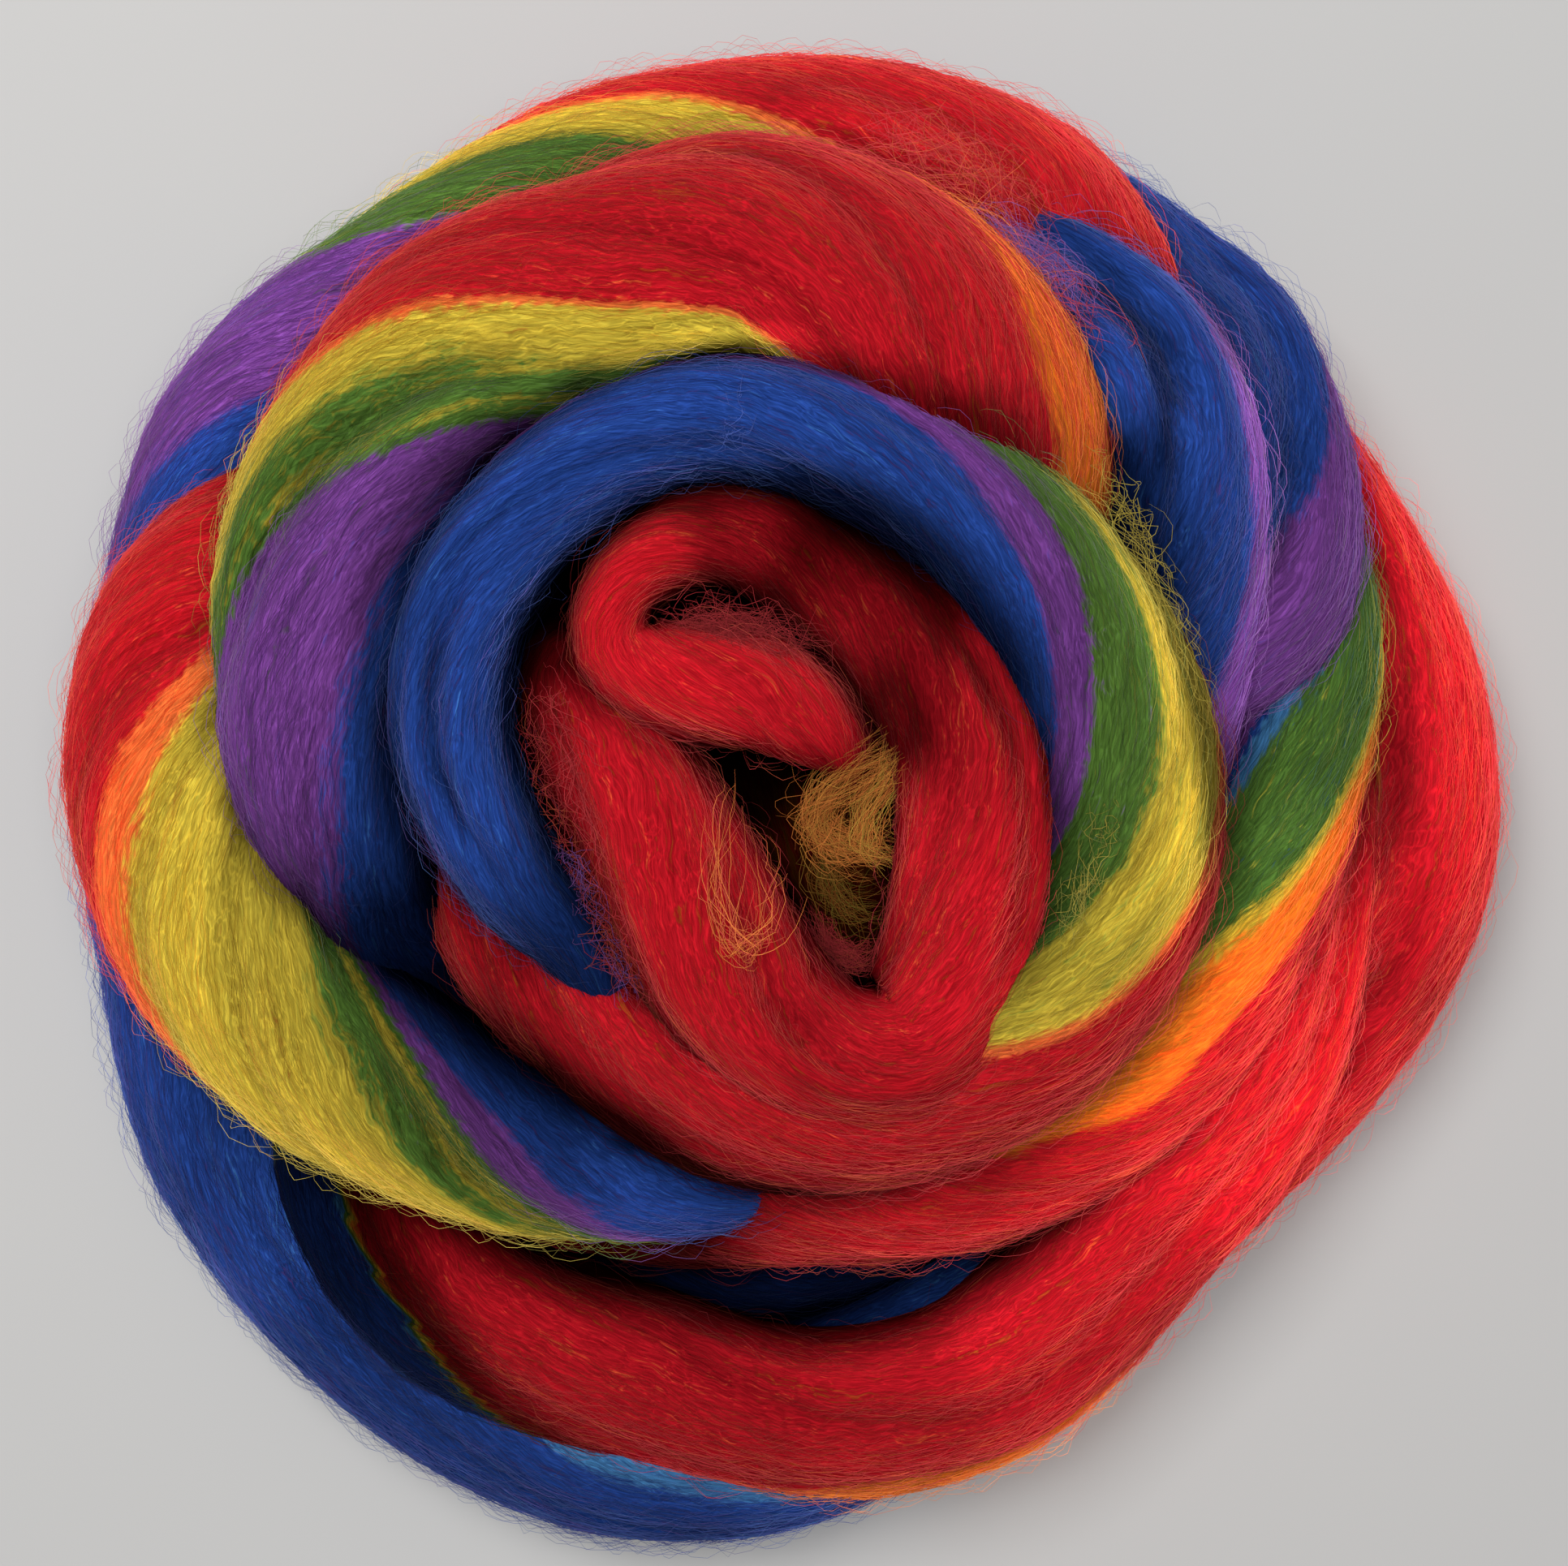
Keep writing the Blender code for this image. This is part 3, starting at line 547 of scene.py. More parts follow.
def product(tree: bpy.types.NodeTree, *factors: object) -> Socket:
    """Multiply sockets and numbers.

    Args:
        tree: the node tree.
        factors: the sockets and numbers.

    Returns:
        Their product.
    """
    result = factors[0]
    for factor in factors[1:]:
        result = add_node(tree, "ShaderNodeMath", (result, factor), operation="MULTIPLY")
    return result


def sway(tree: bpy.types.NodeTree, place: Socket, pace: float, reach: object) -> Socket:
    """A smooth random offset, which lies as often to one side as to the other.

    Args:
        tree: the node tree.
        place: where it is read.
        pace: bends on one unit of the place.
        reach: a number or socket that the offset is scaled by.

    Returns:
        The offset.
    """
    noise = add_node(tree, "ShaderNodeTexNoise", {"Vector": place, "Scale": pace, "Detail": 0.0})
    ends = (noise.node.outputs["Color"], (0.5, 0.5, 0.5))
    centred = add_node(tree, "ShaderNodeVectorMath", ends, operation="SUBTRACT")
    return add_node(tree, "ShaderNodeVectorMath", (centred, reach), operation="SCALE")


def matte(name: str, roughness: float, gloss: float) -> tuple[bpy.types.Material, Socket]:
    """A new material without colour.

    Args:
        name: its name.
        roughness: roughness of its shader.
        gloss: specular level of its shader.

    Returns:
        The material, and the socket that takes its colour.
    """
    material = bpy.data.materials.new(name)
    material.use_nodes = True
    shader = material.node_tree.nodes["Principled BSDF"]
    shader.inputs["Roughness"].default_value = roughness
    shader.inputs["Specular IOR Level"].default_value = gloss
    return material, shader.inputs["Base Color"]


def link_object(name: str, data: bpy.types.ID) -> bpy.types.Object:
    """A new object at the origin.

    Args:
        name: its name.
        data: the mesh, light or camera that it shows.

    Returns:
        The object, in the scene.
    """
    obj = bpy.data.objects.new(name, data)
    bpy.context.scene.collection.objects.link(obj)
    return obj


def register(obj: bpy.types.Object) -> None:
    """Let a piece stand for the solid nest, and report it.

    Args:
        obj: the piece.
    """
    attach(obj, BODY)
    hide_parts(CAD_NODE)
    LOG.info("%s: %d faces", obj.name, len(obj.data.polygons))


@dataclass(frozen=True)
class Grain:
    """Smooth random relief drawn out along the fibres.

    Attributes:
        bundles: cells round the strand.
        run: length of a cell along it, in mm.
        seed: fixed seed.
    """

    bundles: int
    run: float
    seed: int

    def sample(self, around: np.ndarray, along: np.ndarray) -> np.ndarray:
        """Value from -1 to 1 at each place.

        Args:
            around: share of the way round, any number, repeating every 1.
            along: mm along the strand.

        Returns:
            The relief at each place.
        """
        rows = 1024
        table = np.random.default_rng(self.seed).uniform(-1.0, 1.0, (self.bundles, rows))
        x = np.mod(around, 1.0) * self.bundles
        y = np.mod(along / self.run, rows)
        i, j = np.floor(x).astype(int), np.floor(y).astype(int)
        fx, fy = smooth_step(x - i), smooth_step(y - j)
        i, j = i % self.bundles, j % rows
        next_i, next_j = (i + 1) % self.bundles, (j + 1) % rows
        low = table[i, j] * (1.0 - fx) + table[next_i, j] * fx
        high = table[i, next_j] * (1.0 - fx) + table[next_i, next_j] * fx
        return low * (1.0 - fy) + high * fy


@dataclass(frozen=True)
class DyeWheel:
    """Dyes of the rainbow top, in the order that the stripes lie round the strand."""

    dyes: tuple[str, ...] = (
        "#C51A27",  # red
        "#E8763A",  # orange
        "#D2BA40",  # yellow
        "#5A7E34",  # green
        "#82489C",  # purple
        "#2A4DA0",  # blue
        "#4A86BC",  # teal
        "#587E34",  # green
        "#DABA3A",  # yellow
        "#EE8526",  # orange
    )
    plateau: float = 0.27   # how far each pure dye reaches, where 0.5 leaves no blend

    def ramp(self, tree: bpy.types.NodeTree, *places: Socket) -> Socket:
        """Colour of the dye at a place on the wheel.

        Args:
            tree: the material's tree.
            places: two sockets whose sum is the place, in tenths of the wheel.

        Returns:
            The colour.
        """
        place = add_node(tree, "ShaderNodeMath", places, operation="ADD")
        share = add_node(tree, "ShaderNodeMath", (place, 10.0), operation="DIVIDE")
        wheel = add_node(tree, "ShaderNodeMath", (share,), operation="FRACT")
        colour = add_node(tree, "ShaderNodeValToRGB", (wheel,))
        stops = colour.node.color_ramp.elements
        stops[0].color = stops[1].color = to_linear(self.dyes[0])
        for i, dye in enumerate(self.dyes + self.dyes[:1]):
            for edge in (i - self.plateau, i + self.plateau):
                if 0.0 < edge < 10.0:
                    stops.new(edge / 10.0).color = to_linear(dye)
        return colour


@dataclass(frozen=True)
class CombedMerinoTop:
    """Combed merino top: the dense, dyed body of the strand.

    Combing lays the fibres side by side, so the eye sees fine parallel streaks, thin
    dark partings between bundles, dyes that feather into each other along the fibres,
    and a soft bloom at the edges instead of a gloss.

    Attributes:
        wheel: the dyes.
        streak: width of a fibre streak in mm. A fibre is 0.02 mm thick, which is far
            too fine to show, so a streak stands for a few dozen of them.
        bundle: width of a bundle between two partings, in mm.
        stretch: how many times longer than wide the streaks are.
        web: width of the gaps between crimped fibres that cross on the surface, in mm.
        web_stretch: how many times longer than wide those gaps are.
        web_light: brightness in a gap and on a fibre.
        hair: thickness of those fibres, as a share of a gap.
        crimp: how far the crimp bends them, in mm.
        crimp_pace: bends of the crimp on a millimetre.
        feather: how far streaks of one dye reach into the next, in tenths of the wheel.
        usual_sum: range of the streaks' and the bundles' noise together.
        contrast: share of the light that is lost between streaks.
        usual_streak: range of the streaks' noise that the contrast covers.
        parting: share of the light that is lost in a parting.
        parting_edge: the bundles' noise inside a parting and at its edge.
        roughness: roughness of the shader.
    """

    wheel: DyeWheel = field(default_factory=DyeWheel)
    streak: float = 0.28
    bundle: float = 1.6
    stretch: float = 20.0
    web: float = 0.6
    web_stretch: float = 30.0
    web_light: tuple[float, float] = (0.90, 1.28)
    hair: float = 0.15
    crimp: float = 0.35
    crimp_pace: float = 0.28
    feather: float = 1.0
    usual_sum: tuple[float, float] = (0.6, 1.4)
    contrast: float = 0.30
    usual_streak: tuple[float, float] = (0.3, 0.7)
    parting: float = 0.25
    parting_edge: tuple[float, float] = (0.30, 0.46)
    roughness: float = 0.85

    def material(self) -> bpy.types.Material:
        """Make the material.

        Returns:
            The finished material, which reads the strand's own attributes.
        """
        material, colour = matte("combed_merino_top", self.roughness, 0.0)
        tree = material.node_tree
        place, stripe, light = (
            add_node(tree, "ShaderNodeAttribute", attribute_name=name).node.outputs
            for name in ("fibre", "stripe", "light")
        )
        bends = sway(tree, place["Vector"], self.crimp_pace, 4.0 * self.crimp)
        bent = add_node(tree, "ShaderNodeVectorMath", (place["Vector"], bends), operation="ADD")

        # patterns drawn out along the fibres, with features of a width in millimetres
        streaky, webbed = (
            add_node(tree, "ShaderNodeMapping", {"Vector": bent, "Scale": (1.0, 1.0, 1.0 / stretch)})
            for stretch in (self.stretch, self.web_stretch)
        )
        streaks, bundles = (
            add_node(
                tree, "ShaderNodeTexNoise",
                {"Vector": streaky, "Scale": 1.0 / width, "Detail": detail, "Roughness": 0.6},
            )
            for width, detail in ((self.streak, 2.0), (self.bundle, 1.0))
        )
        cells = {"Vector": webbed, "Scale": 1.0 / self.web}
        gaps = add_node(tree, "ShaderNodeTexVoronoi", cells, feature="DISTANCE_TO_EDGE")

        # a Map Range node takes a value, the range that it comes from and the one it goes to
        both = add_node(tree, "ShaderNodeMath", (streaks, bundles), operation="ADD")
        reach = self.feather / 2.0
        shift = add_node(tree, "ShaderNodeMapRange", (both, *self.usual_sum, -reach, reach))
        dyed = self.wheel.ramp(tree, stripe["Fac"], shift)
        lit = (streaks, *self.usual_streak, 1.0 - self.contrast, 1.0 + self.contrast * 0.5)
        parted = (bundles, *self.parting_edge, 1.0 - self.parting, 1.0)
        haired = (gaps, 0.0, self.hair, self.web_light[1], self.web_light[0])
        # the light attribute paints light and shade: the openness shade and each turn's painted tone
        shade = product(
            tree,
            add_node(tree, "ShaderNodeMapRange", lit),
            add_node(tree, "ShaderNodeMapRange", parted, interpolation_type="SMOOTHSTEP"),
            add_node(tree, "ShaderNodeMapRange", haired, interpolation_type="SMOOTHSTEP"),
            light["Fac"],
        )
        finished = add_node(tree, "ShaderNodeVectorMath", (dyed, shade), operation="SCALE")
        tree.links.new(finished, colour)
        return material


@dataclass(frozen=True)
class LooseMerinoFibre:
    """Single merino fibres on and above the strand: dyed, matte and painted paler as highlight and
    sheen.

    Each fibre keeps one dye along its length, so a stripe's edge shows single hairs of
    its neighbour's colour.
    """

    name: str
    wheel: DyeWheel = field(default_factory=DyeWheel)
    scatter: float = 0.45           # how far its dye may lie from its place, tenths
    paler: float = 1.3              # painted highlight: how much lighter it looks than the wool below
    pale: float = 0.06              # painted sheen: share of pale white mixed into the dye
    # colour of the painted sheen
    painted_sheen_white: str = "#E6D6D2"
    darkest: float = 0.66           # lightness of the darkest fibre before it is paler
    lightest: float = 1.24
    roughness: float = 0.75

    def material(self) -> bpy.types.Material:
        """Make the material.

        Returns:
            The finished material, which reads each fibre's dye and lightness.
        """
        material, colour = matte(self.name, self.roughness, 0.0)
        tree = material.node_tree
        stripe, chance, light = (
            add_node(tree, "ShaderNodeAttribute", attribute_name=name).node.outputs["Fac"]
            for name in ("stripe", "chance", "light")
        )
        shift = add_node(tree, "ShaderNodeMapRange", (chance, 0.0, 1.0, -self.scatter, self.scatter))
        # painted sheen: a share of pale white mixed into the dye
        blend = (self.pale, self.wheel.ramp(tree, stripe, shift), to_linear(self.painted_sheen_white))
        dyed = add_node(tree, "ShaderNodeMix", blend, data_type="RGBA")
        # the chance's finer digits are a second chance
        second = add_node(tree, "ShaderNodeMath", (product(tree, chance, 37.0),), operation="FRACT")
        # paler is a painted highlight, and the light attribute paints light and shade
        ends = (second, 0.0, 1.0, self.darkest * self.paler, self.lightest * self.paler)
        shade = product(tree, add_node(tree, "ShaderNodeMapRange", ends), light)
        finished = add_node(tree, "ShaderNodeVectorMath", (dyed, shade), operation="SCALE")
        tree.links.new(finished, colour)
        return material


@dataclass
class Strand:
    """The whole strand, swept through its turns as one grid of rings."""

    around: int = 104               # points round one ring
    squareness: float = 0.88        # 1 is an ellipse, less is fuller at the corners
    crease_fade: float = 0.2        # share of a crease over which it starts and ends
    lump: float = 0.8               # broad unevenness, mm
    bundle_relief: float = 0.35     # rounded bundles, mm
    groove: float = 0.5             # depth of the partings between bundles, mm
    parting_sharpness: int = 7      # how narrow a parting is, beside a bundle
    fold: float = 1.1               # depth of the broad folds, mm
    fold_sharpness: int = 5         # the same for a fold
    fold_shade: float = 0.3         # share of the light that is lost in a fold
    full_relief: float = 20.0       # thickness from which the relief is whole, mm
    least_relief: float = 0.4       # share of the relief that a thin stretch keeps
    lump_grain: Grain = Grain(5, 55.0, 11)
    bundle_grain: Grain = Grain(22, 48.0, 12)
    small_bundle_grain: Grain = Grain(44, 30.0, 13)
    parting_grain: Grain = Grain(13, 85.0, 14)
    fold_grain: Grain = Grain(6, 110.0, 15)
    wave_grain: Grain = Grain(24, 36.0, 21)
    bend_grain: Grain = Grain(11, 70.0, 22)
    wave: float = 0.010             # how far the stripes' edges wander, share round
    steep_blend: float = 1.4        # least blend of an edge, in steps from ring to ring
    dye_change: Row = (0.15, 0.85)  # shares of a turn between which its dye changes
    underside: Row = (0.2, 0.8)     # shares of the way round where the underside ends
    mean_radius: float = 13.5       # of the strand, for patterns that run round it, mm
    tone_blend: int = 7             # rings over which the tones of two turns blend
    shade_fade: float = 0.05        # share of a turn over which a shade ends
    sight_step: tuple[int, int] = (2, 4)    # rings, and points round, between two sights
    on_table: float = 0.5           # height below which wool lies on the table, mm
    sight_start: float = 0.8        # how far above the wool a line of sight starts, mm
    open_reach: float = 60.0        # how far a free line of sight has to run, mm
    near_reach: float = 45.0        # how near other wool has to be to shade a place, mm
    # how far the lines of sight lean off the way straight out, each with its weight
    sight_leans: tuple[Row, ...] = ((0.0, 1.0), (0.8, 1.0), (1.7, 0.8), (4.0, 0.5))
    sights_round: int = 6           # lines at each lean but the first
    steep_lean: float = 1.0         # leans below this one count for the fibres
    most_blind: int = 9             # lines that may meet wool from its inside
    # the painted shade that a place's free distance sets
    fill_steps: int = 12            # steps that the light is carried on into buried wool
    dark_below: float = 0.25        # share of free distance that leaves a place black
    light_above: float = 0.92       # share of free distance that lights a place fully
    least_light: float = 0.03       # share of the light that reaches every place
    shade_power: float = 2.0        # how fast the light falls off between the two

    def __post_init__(self) -> None:
        """Sweep the strand once; every mesh is cut from the same grid."""
        self.follow_route()
        self.shape_rings()
        self.dye_rings()
        self.tone_rings()

    def blend_between(self, rows: list[np.ndarray], share: float) -> np.ndarray:
        """Centripetal Catmull-Rom value between the middle two of four stations.

        Args:
            rows: the four stations.
            share: how far the value lies from the second to the third.

        Returns:
            The row between them.
        """
        knots = [0.0]
        for left, right in zip(rows, rows[1:]):
            gap = max(float(np.linalg.norm(right[:3] - left[:3])), 1e-6)
            knots.append(knots[-1] + math.sqrt(gap))
        when = knots[1] + share * (knots[2] - knots[1])
        level = rows
        for order in (1, 2, 3):
            level = [
                ((knots[i + order] - when) * level[i] + (when - knots[i]) * level[i + 1])
                / (knots[i + order] - knots[i])
                for i in range(len(level) - 1)
            ]
        return level[0]

    def follow_route(self) -> None:
        """Sample the route, and keep for each ring its turn, share, mm along and twist."""
        stations = [np.array(row, dtype=float) for turn in TURNS for row in turn.stations]
        owners = [index for index, turn in enumerate(TURNS) for _ in turn.stations]
        last = len(stations) - 1
        samples: list[np.ndarray] = []
        turn_of: list[int] = []
        for i in range(last):
            four = [stations[max(i - 1, 0)], stations[i], stations[i + 1], stations[min(i + 2, last)]]
            step = TURNS[owners[i]].exposure.value
            pieces = max(1, round(math.dist(four[1][:3], four[2][:3]) / step))
            samples += [self.blend_between(four, j / pieces) for j in range(pieces)]
            turn_of += [owners[i]] * pieces
        samples.append(stations[last])
        turn_of.append(owners[last])
        self.samples = np.array(samples)
        self.turn_of = np.array(turn_of)
        gaps = np.linalg.norm(np.diff(self.samples[:, :3], axis=0), axis=1)
        self.along = np.concatenate(([0.0], np.cumsum(gaps)))
        self.share, self.twist, self.twist_rate = np.zeros((3, len(samples)))
        wound = 0.0
        for index, turn in enumerate(TURNS):
            mine = np.flatnonzero(self.turn_of == index)
            begin = self.along[mine[0]]
            end = self.along[min(mine[-1] + 1, len(samples) - 1)]
            self.share[mine] = (self.along[mine] - begin) / (end - begin)
            self.twist[mine] = wound + turn.twist * self.share[mine]
            self.twist_rate[mine] = turn.twist / (end - begin)
            wound += turn.twist
        self.turned = np.arange(self.around) / self.around
        self.flow = self.turned[None, :] - self.twist[:, None]

    def crease_depth(self, side: np.ndarray, half_wide: np.ndarray) -> np.ndarray:
        """Depth that the creases draw the top down by.

        Args:
            side: place of every point across the top, from -1 to 1.
            half_wide: half the strand's width there, mm.

        Returns:
            The depth at each point, mm.
        """
        depth = np.zeros_like(side)
        for index, turn in enumerate(TURNS):
            for crease in turn.creases:
                run = (self.share - crease.start) / (crease.stop - crease.start)
                fade = np.clip(np.minimum(run, 1.0 - run) / self.crease_fade, 0.0, 1.0)
                fade = np.where(self.turn_of == index, fade, 0.0)[:, None]
                middle = crease.from_side + run * (crease.to_side - crease.from_side)
                offset = (side - middle[:, None]) * half_wide
                depth += crease.deep * fade * np.exp(-((2.0 * offset / crease.wide) ** 2))
        return depth

    def shape_rings(self) -> None:
        """Place every ring's points, in metres, with bundles, partings and creases."""
        centre = self.samples[:, :3]
        ahead = np.vstack((centre[1:], centre[-1:]))
        behind = np.vstack((centre[:1], centre[:-1]))
        forward = (ahead - behind) / np.linalg.norm(ahead - behind, axis=1)[:, None]
        outward = np.cross(forward, (0.0, 0.0, 1.0))
        outward /= np.linalg.norm(outward, axis=1)[:, None]
        upward = np.cross(outward, forward)
        wide, thick, lean = self.samples[:, 3], self.samples[:, 4], np.radians(self.samples[:, 5])
        side = outward * np.cos(lean)[:, None] - upward * np.sin(lean)[:, None]
        top = upward * np.cos(lean)[:, None] + outward * np.sin(lean)[:, None]

        angle = 2.0 * math.pi * self.turned - math.pi / 2.0
        cos, sin = np.cos(angle), np.sin(angle)
        across = 0.5 * np.outer(wide, np.sign(cos) * np.abs(cos) ** self.squareness)
        rise = 0.5 * np.outer(thick, np.sign(sin) * np.abs(sin) ** self.squareness)
        half_wide = np.repeat(wide[:, None] / 2.0, self.around, axis=1)
        rise -= np.where(rise > 0.0, self.crease_depth(across / half_wide, half_wide), 0.0)
        smooth = centre[:, None] + side[:, None] * across[..., None] + top[:, None] * rise[..., None]

        round_it = np.roll(smooth, -1, axis=1) - np.roll(smooth, 1, axis=1)
        normal = np.cross(round_it, np.gradient(smooth, axis=0))
        normal /= np.maximum(np.linalg.norm(normal, axis=2), 1e-9)[..., None]
        outside = np.sum(normal * (smooth - centre[:, None]), axis=2, keepdims=True)
        self.normals = normal * np.sign(np.median(outside))
        self.points = smooth + self.normals * self.relief(thick)[..., None]
        self.points -= (*NEST_MIDDLE, FLOOR_PRESS)
        self.points[..., 2] = np.maximum(self.points[..., 2], 0.0)
        self.points *= MM

    def sample(self, grain: Grain) -> np.ndarray:
        """Value of a grain at every point."""
        return grain.sample(self.flow, self.along[:, None])

    def relief(self, thick: np.ndarray) -> np.ndarray:
        """Height of the strand's bundles over its smooth section.

        Args:
            thick: the strand's thickness at each ring, mm.

        Returns:
            The height at each point, mm.
        """
        bundles = self.sample(self.bundle_grain) + 0.5 * self.sample(self.small_bundle_grain)
        partings = (1.0 - np.abs(self.sample(self.parting_grain))) ** self.parting_sharpness
        self.folds = (1.0 - np.abs(self.sample(self.fold_grain))) ** self.fold_sharpness
        amount = np.clip(thick / self.full_relief, self.least_relief, 1.0)[:, None]
        raised = self.lump * self.sample(self.lump_grain) + self.bundle_relief * bundles
        return amount * (raised - self.groove * partings - self.fold * self.folds)

    def dye_rings(self) -> None:
        """Place on the dye wheel of every point; the edges wander with the fibres."""
        ragged = self.wave * (self.sample(self.wave_grain) + self.sample(self.bend_grain))
        self.stripe = np.zeros((len(self.along), self.around))
        for index, turn in enumerate(TURNS):
            mine = self.turn_of == index
            stripes = STRIPES[turn.name]
            share = self.share[mine]
            last = stripes.dye if stripes.last is None else stripes.last
            value = np.interp(share, self.dye_change, (stripes.dye, last))[:, None]
            value = np.repeat(value, self.around, axis=1)
            before = stripes.dye
            for edge in stripes.edges:
                value += (edge.dye - before) * self.behind(edge, share, ragged[mine])
                before = edge.dye
            self.stripe[mine] = value
        self.meet_below()

    def meet_below(self) -> None:
        """Blend the inner side's dye into the outer side's across the underside."""
        low, high = self.underside
        outer, inner = (
            self.stripe[:, column : column + 1]
            for column in (np.searchsorted(self.turned, low), np.searchsorted(self.turned, high))
        )
        share = np.interp(self.turned, (0.0, low, high, 1.0), (0.5, 1.0, 0.0, 0.5))
        below = inner + (outer - inner) * share[None, :]
        top = (self.turned > low) & (self.turned < high)
        self.stripe = np.where(top[None, :], self.stripe, below)

    def tone_rings(self) -> None:
        """Painted light and shade of every point: its turn's painted tone, less the painted shade of
        its folds and deep sides.
        """
        tones = np.array([STRIPES[turn.name].tone for turn in TURNS])[self.turn_of]
        reach = 2 * self.tone_blend + 1
        padded = np.pad(tones, self.tone_blend, mode="edge")
        even = np.convolve(padded, np.full(reach, 1.0 / reach), mode="valid")
        # each turn's painted tone, with painted shade in the broad folds
        self.tone = even[:, None] * (1.0 - self.fold_shade * self.folds)
        still = np.zeros(self.around)[None, :]
        for index, turn in enumerate(TURNS):
            mine = self.turn_of == index
            share = self.share[mine]
            for shade in STRIPES[turn.name].shades:
                line = Edge(0.0, shade.line, shade.feather)
                past = self.behind(line, share, still)
                if shade.reach is not None:
                    past -= self.behind(line, share, still - shade.reach)
                first, last = shade.line[0][0], shade.line[-1][0]
                ends = np.minimum(
                    (share - first) / self.shade_fade + (first == 0.0),
                    (last - share) / self.shade_fade + (last == 1.0),
                )
                cover = np.clip(ends, 0.0, 1.0)[:, None] * (past if shade.inner else 1.0 - past)
                # painted shade, and painted light where deep is below 0
                self.tone[mine] *= 1.0 - shade.deep * cover

    def behind(self, edge: Edge, share: np.ndarray, ragged: np.ndarray) -> np.ndarray:
        """How far each place lies behind a stripe's edge.

        Args:
            edge: the edge.
            share: share of the turn's length at each of its rings.
            ragged: how far the edge wanders at each point, share of the way round.

        Returns:
            0 in front of the edge and 1 behind it, for each ring and point.
        """
        places, sides = zip(*edge.line)
        line = np.interp(share, places, sides)
        first, last = edge.line[0], edge.line[-1]
        lead = (sides[1] - first[1]) / (places[1] - first[0])
        trail = (last[1] - sides[-2]) / (last[0] - places[-2])
        line = np.where(share < first[0], first[1] + lead * (share - first[0]), line)
        line = np.where(share > last[0], last[1] + trail * (share - last[0]), line)
        # an edge that crosses the strand steeply needs a longer blend than the rings' step
        feather = np.maximum(edge.feather, self.steep_blend * np.abs(np.gradient(line)))[:, None]
        way = (self.turned[None, :] + ragged - line[:, None]) / feather + 0.5
        return smooth_step(np.clip(way, 0.0, 1.0))

    def ring_range(self, run: tuple[str, ...]) -> tuple[int, int]:
        """First and last ring of a run, which shares its last with the next run.

        Args:
            run: names of the run's turns.

        Returns:
            The numbers of the two rings.
        """
        indices = [index for index, turn in enumerate(TURNS) if turn.name in run]
        mine = np.flatnonzero(np.isin(self.turn_of, indices))
        return int(mine[0]), int(min(mine[-1] + 1, len(self.along) - 1))

    def run_mesh(self, name: str, run: tuple[str, ...]) -> bpy.types.Mesh:
        """Closed mesh of one run of turns.

        Args:
            name: name of the mesh.
            run: names of its turns, in winding order.

        Returns:
            The mesh with its UV map and attributes, and no material yet.
        """
        first, last = self.ring_range(run)
        rings = self.points[first : last + 1]
        count, n = len(rings), self.around
        caps = np.array([rings[0].mean(axis=0), rings[-1].mean(axis=0)])
        vertices = np.vstack((rings.reshape(-1, 3), caps))
        i, j = np.meshgrid(np.arange(count - 1), np.arange(n), indexing="ij")
        k = (j + 1) % n
        quads = np.stack((i * n + j, (i + 1) * n + j, (i + 1) * n + k, i * n + k), axis=-1)
        faces = [tuple(quad) for quad in quads.reshape(-1, 4).tolist()]
        faces += [(count * n, m, (m + 1) % n) for m in range(n)]
        faces += [(count * n + 1, (count - 1) * n + (m + 1) % n, (count - 1) * n + m) for m in range(n)]
        mesh = bpy.data.meshes.new(name)
        mesh.from_pydata(vertices.tolist(), [], faces)
        self.set_attributes(mesh, first, last)
        mesh.shade_smooth()
        return mesh

    def set_attributes(self, mesh: bpy.types.Mesh, first: int, last: int) -> None:
        """Give a run's mesh its UV map, dye, fibre direction and flow.

        Args:
            mesh: the run's mesh.
            first: number of its first ring.
            last: number of its last ring.
        """
        part = slice(first, last + 1)
        n, count = self.around, last + 1 - first
        turn = 2.0 * math.pi * self.flow[part]
        along = np.repeat(self.along[part][:, None], n, axis=1)
        fibre = np.stack(
            (self.mean_radius * np.cos(turn), self.mean_radius * np.sin(turn), along), axis=-1
        )
        self.point_attribute(mesh, "stripe", self.stripe[part])
        self.point_attribute(mesh, "wind", np.repeat(self.twist_rate[part][:, None], n, axis=1))
        whole = np.vstack((fibre.reshape(-1, 3), fibre[0].mean(axis=0), fibre[-1].mean(axis=0)))
        mesh.attributes.new("fibre", "FLOAT_VECTOR", "POINT").data.foreach_set("vector", whole.ravel())

        # the UV map runs round and along the strand, and the caps lie off it
        uv = np.zeros((len(mesh.loops), 2))
        loops = np.zeros(len(mesh.loops), dtype=np.int32)
        mesh.loops.foreach_get("vertex_index", loops)
        body = (count - 1) * n * 4
        column = np.arange(n)
        corners = np.stack((column, column, column + 1, column + 1), axis=1)
        uv[:body, 0] = np.tile(corners.ravel(), count - 1) / n
        uv[:body, 1] = self.along[part][loops[:body] // n] * MM
        uv[body:] = (0.5, -1.0)
        mesh.uv_layers.new(name="flow").data.foreach_set("uv", uv.ravel())

    def point_attribute(self, mesh: bpy.types.Mesh, name: str, grid: np.ndarray) -> None:
        """Store a value for each point of the rings, and the mean at the two caps."""
        values = np.concatenate((grid.ravel(), [grid[0].mean(), grid[-1].mean()]))
        mesh.attributes.new(name, "FLOAT", "POINT").data.foreach_set("value", values)

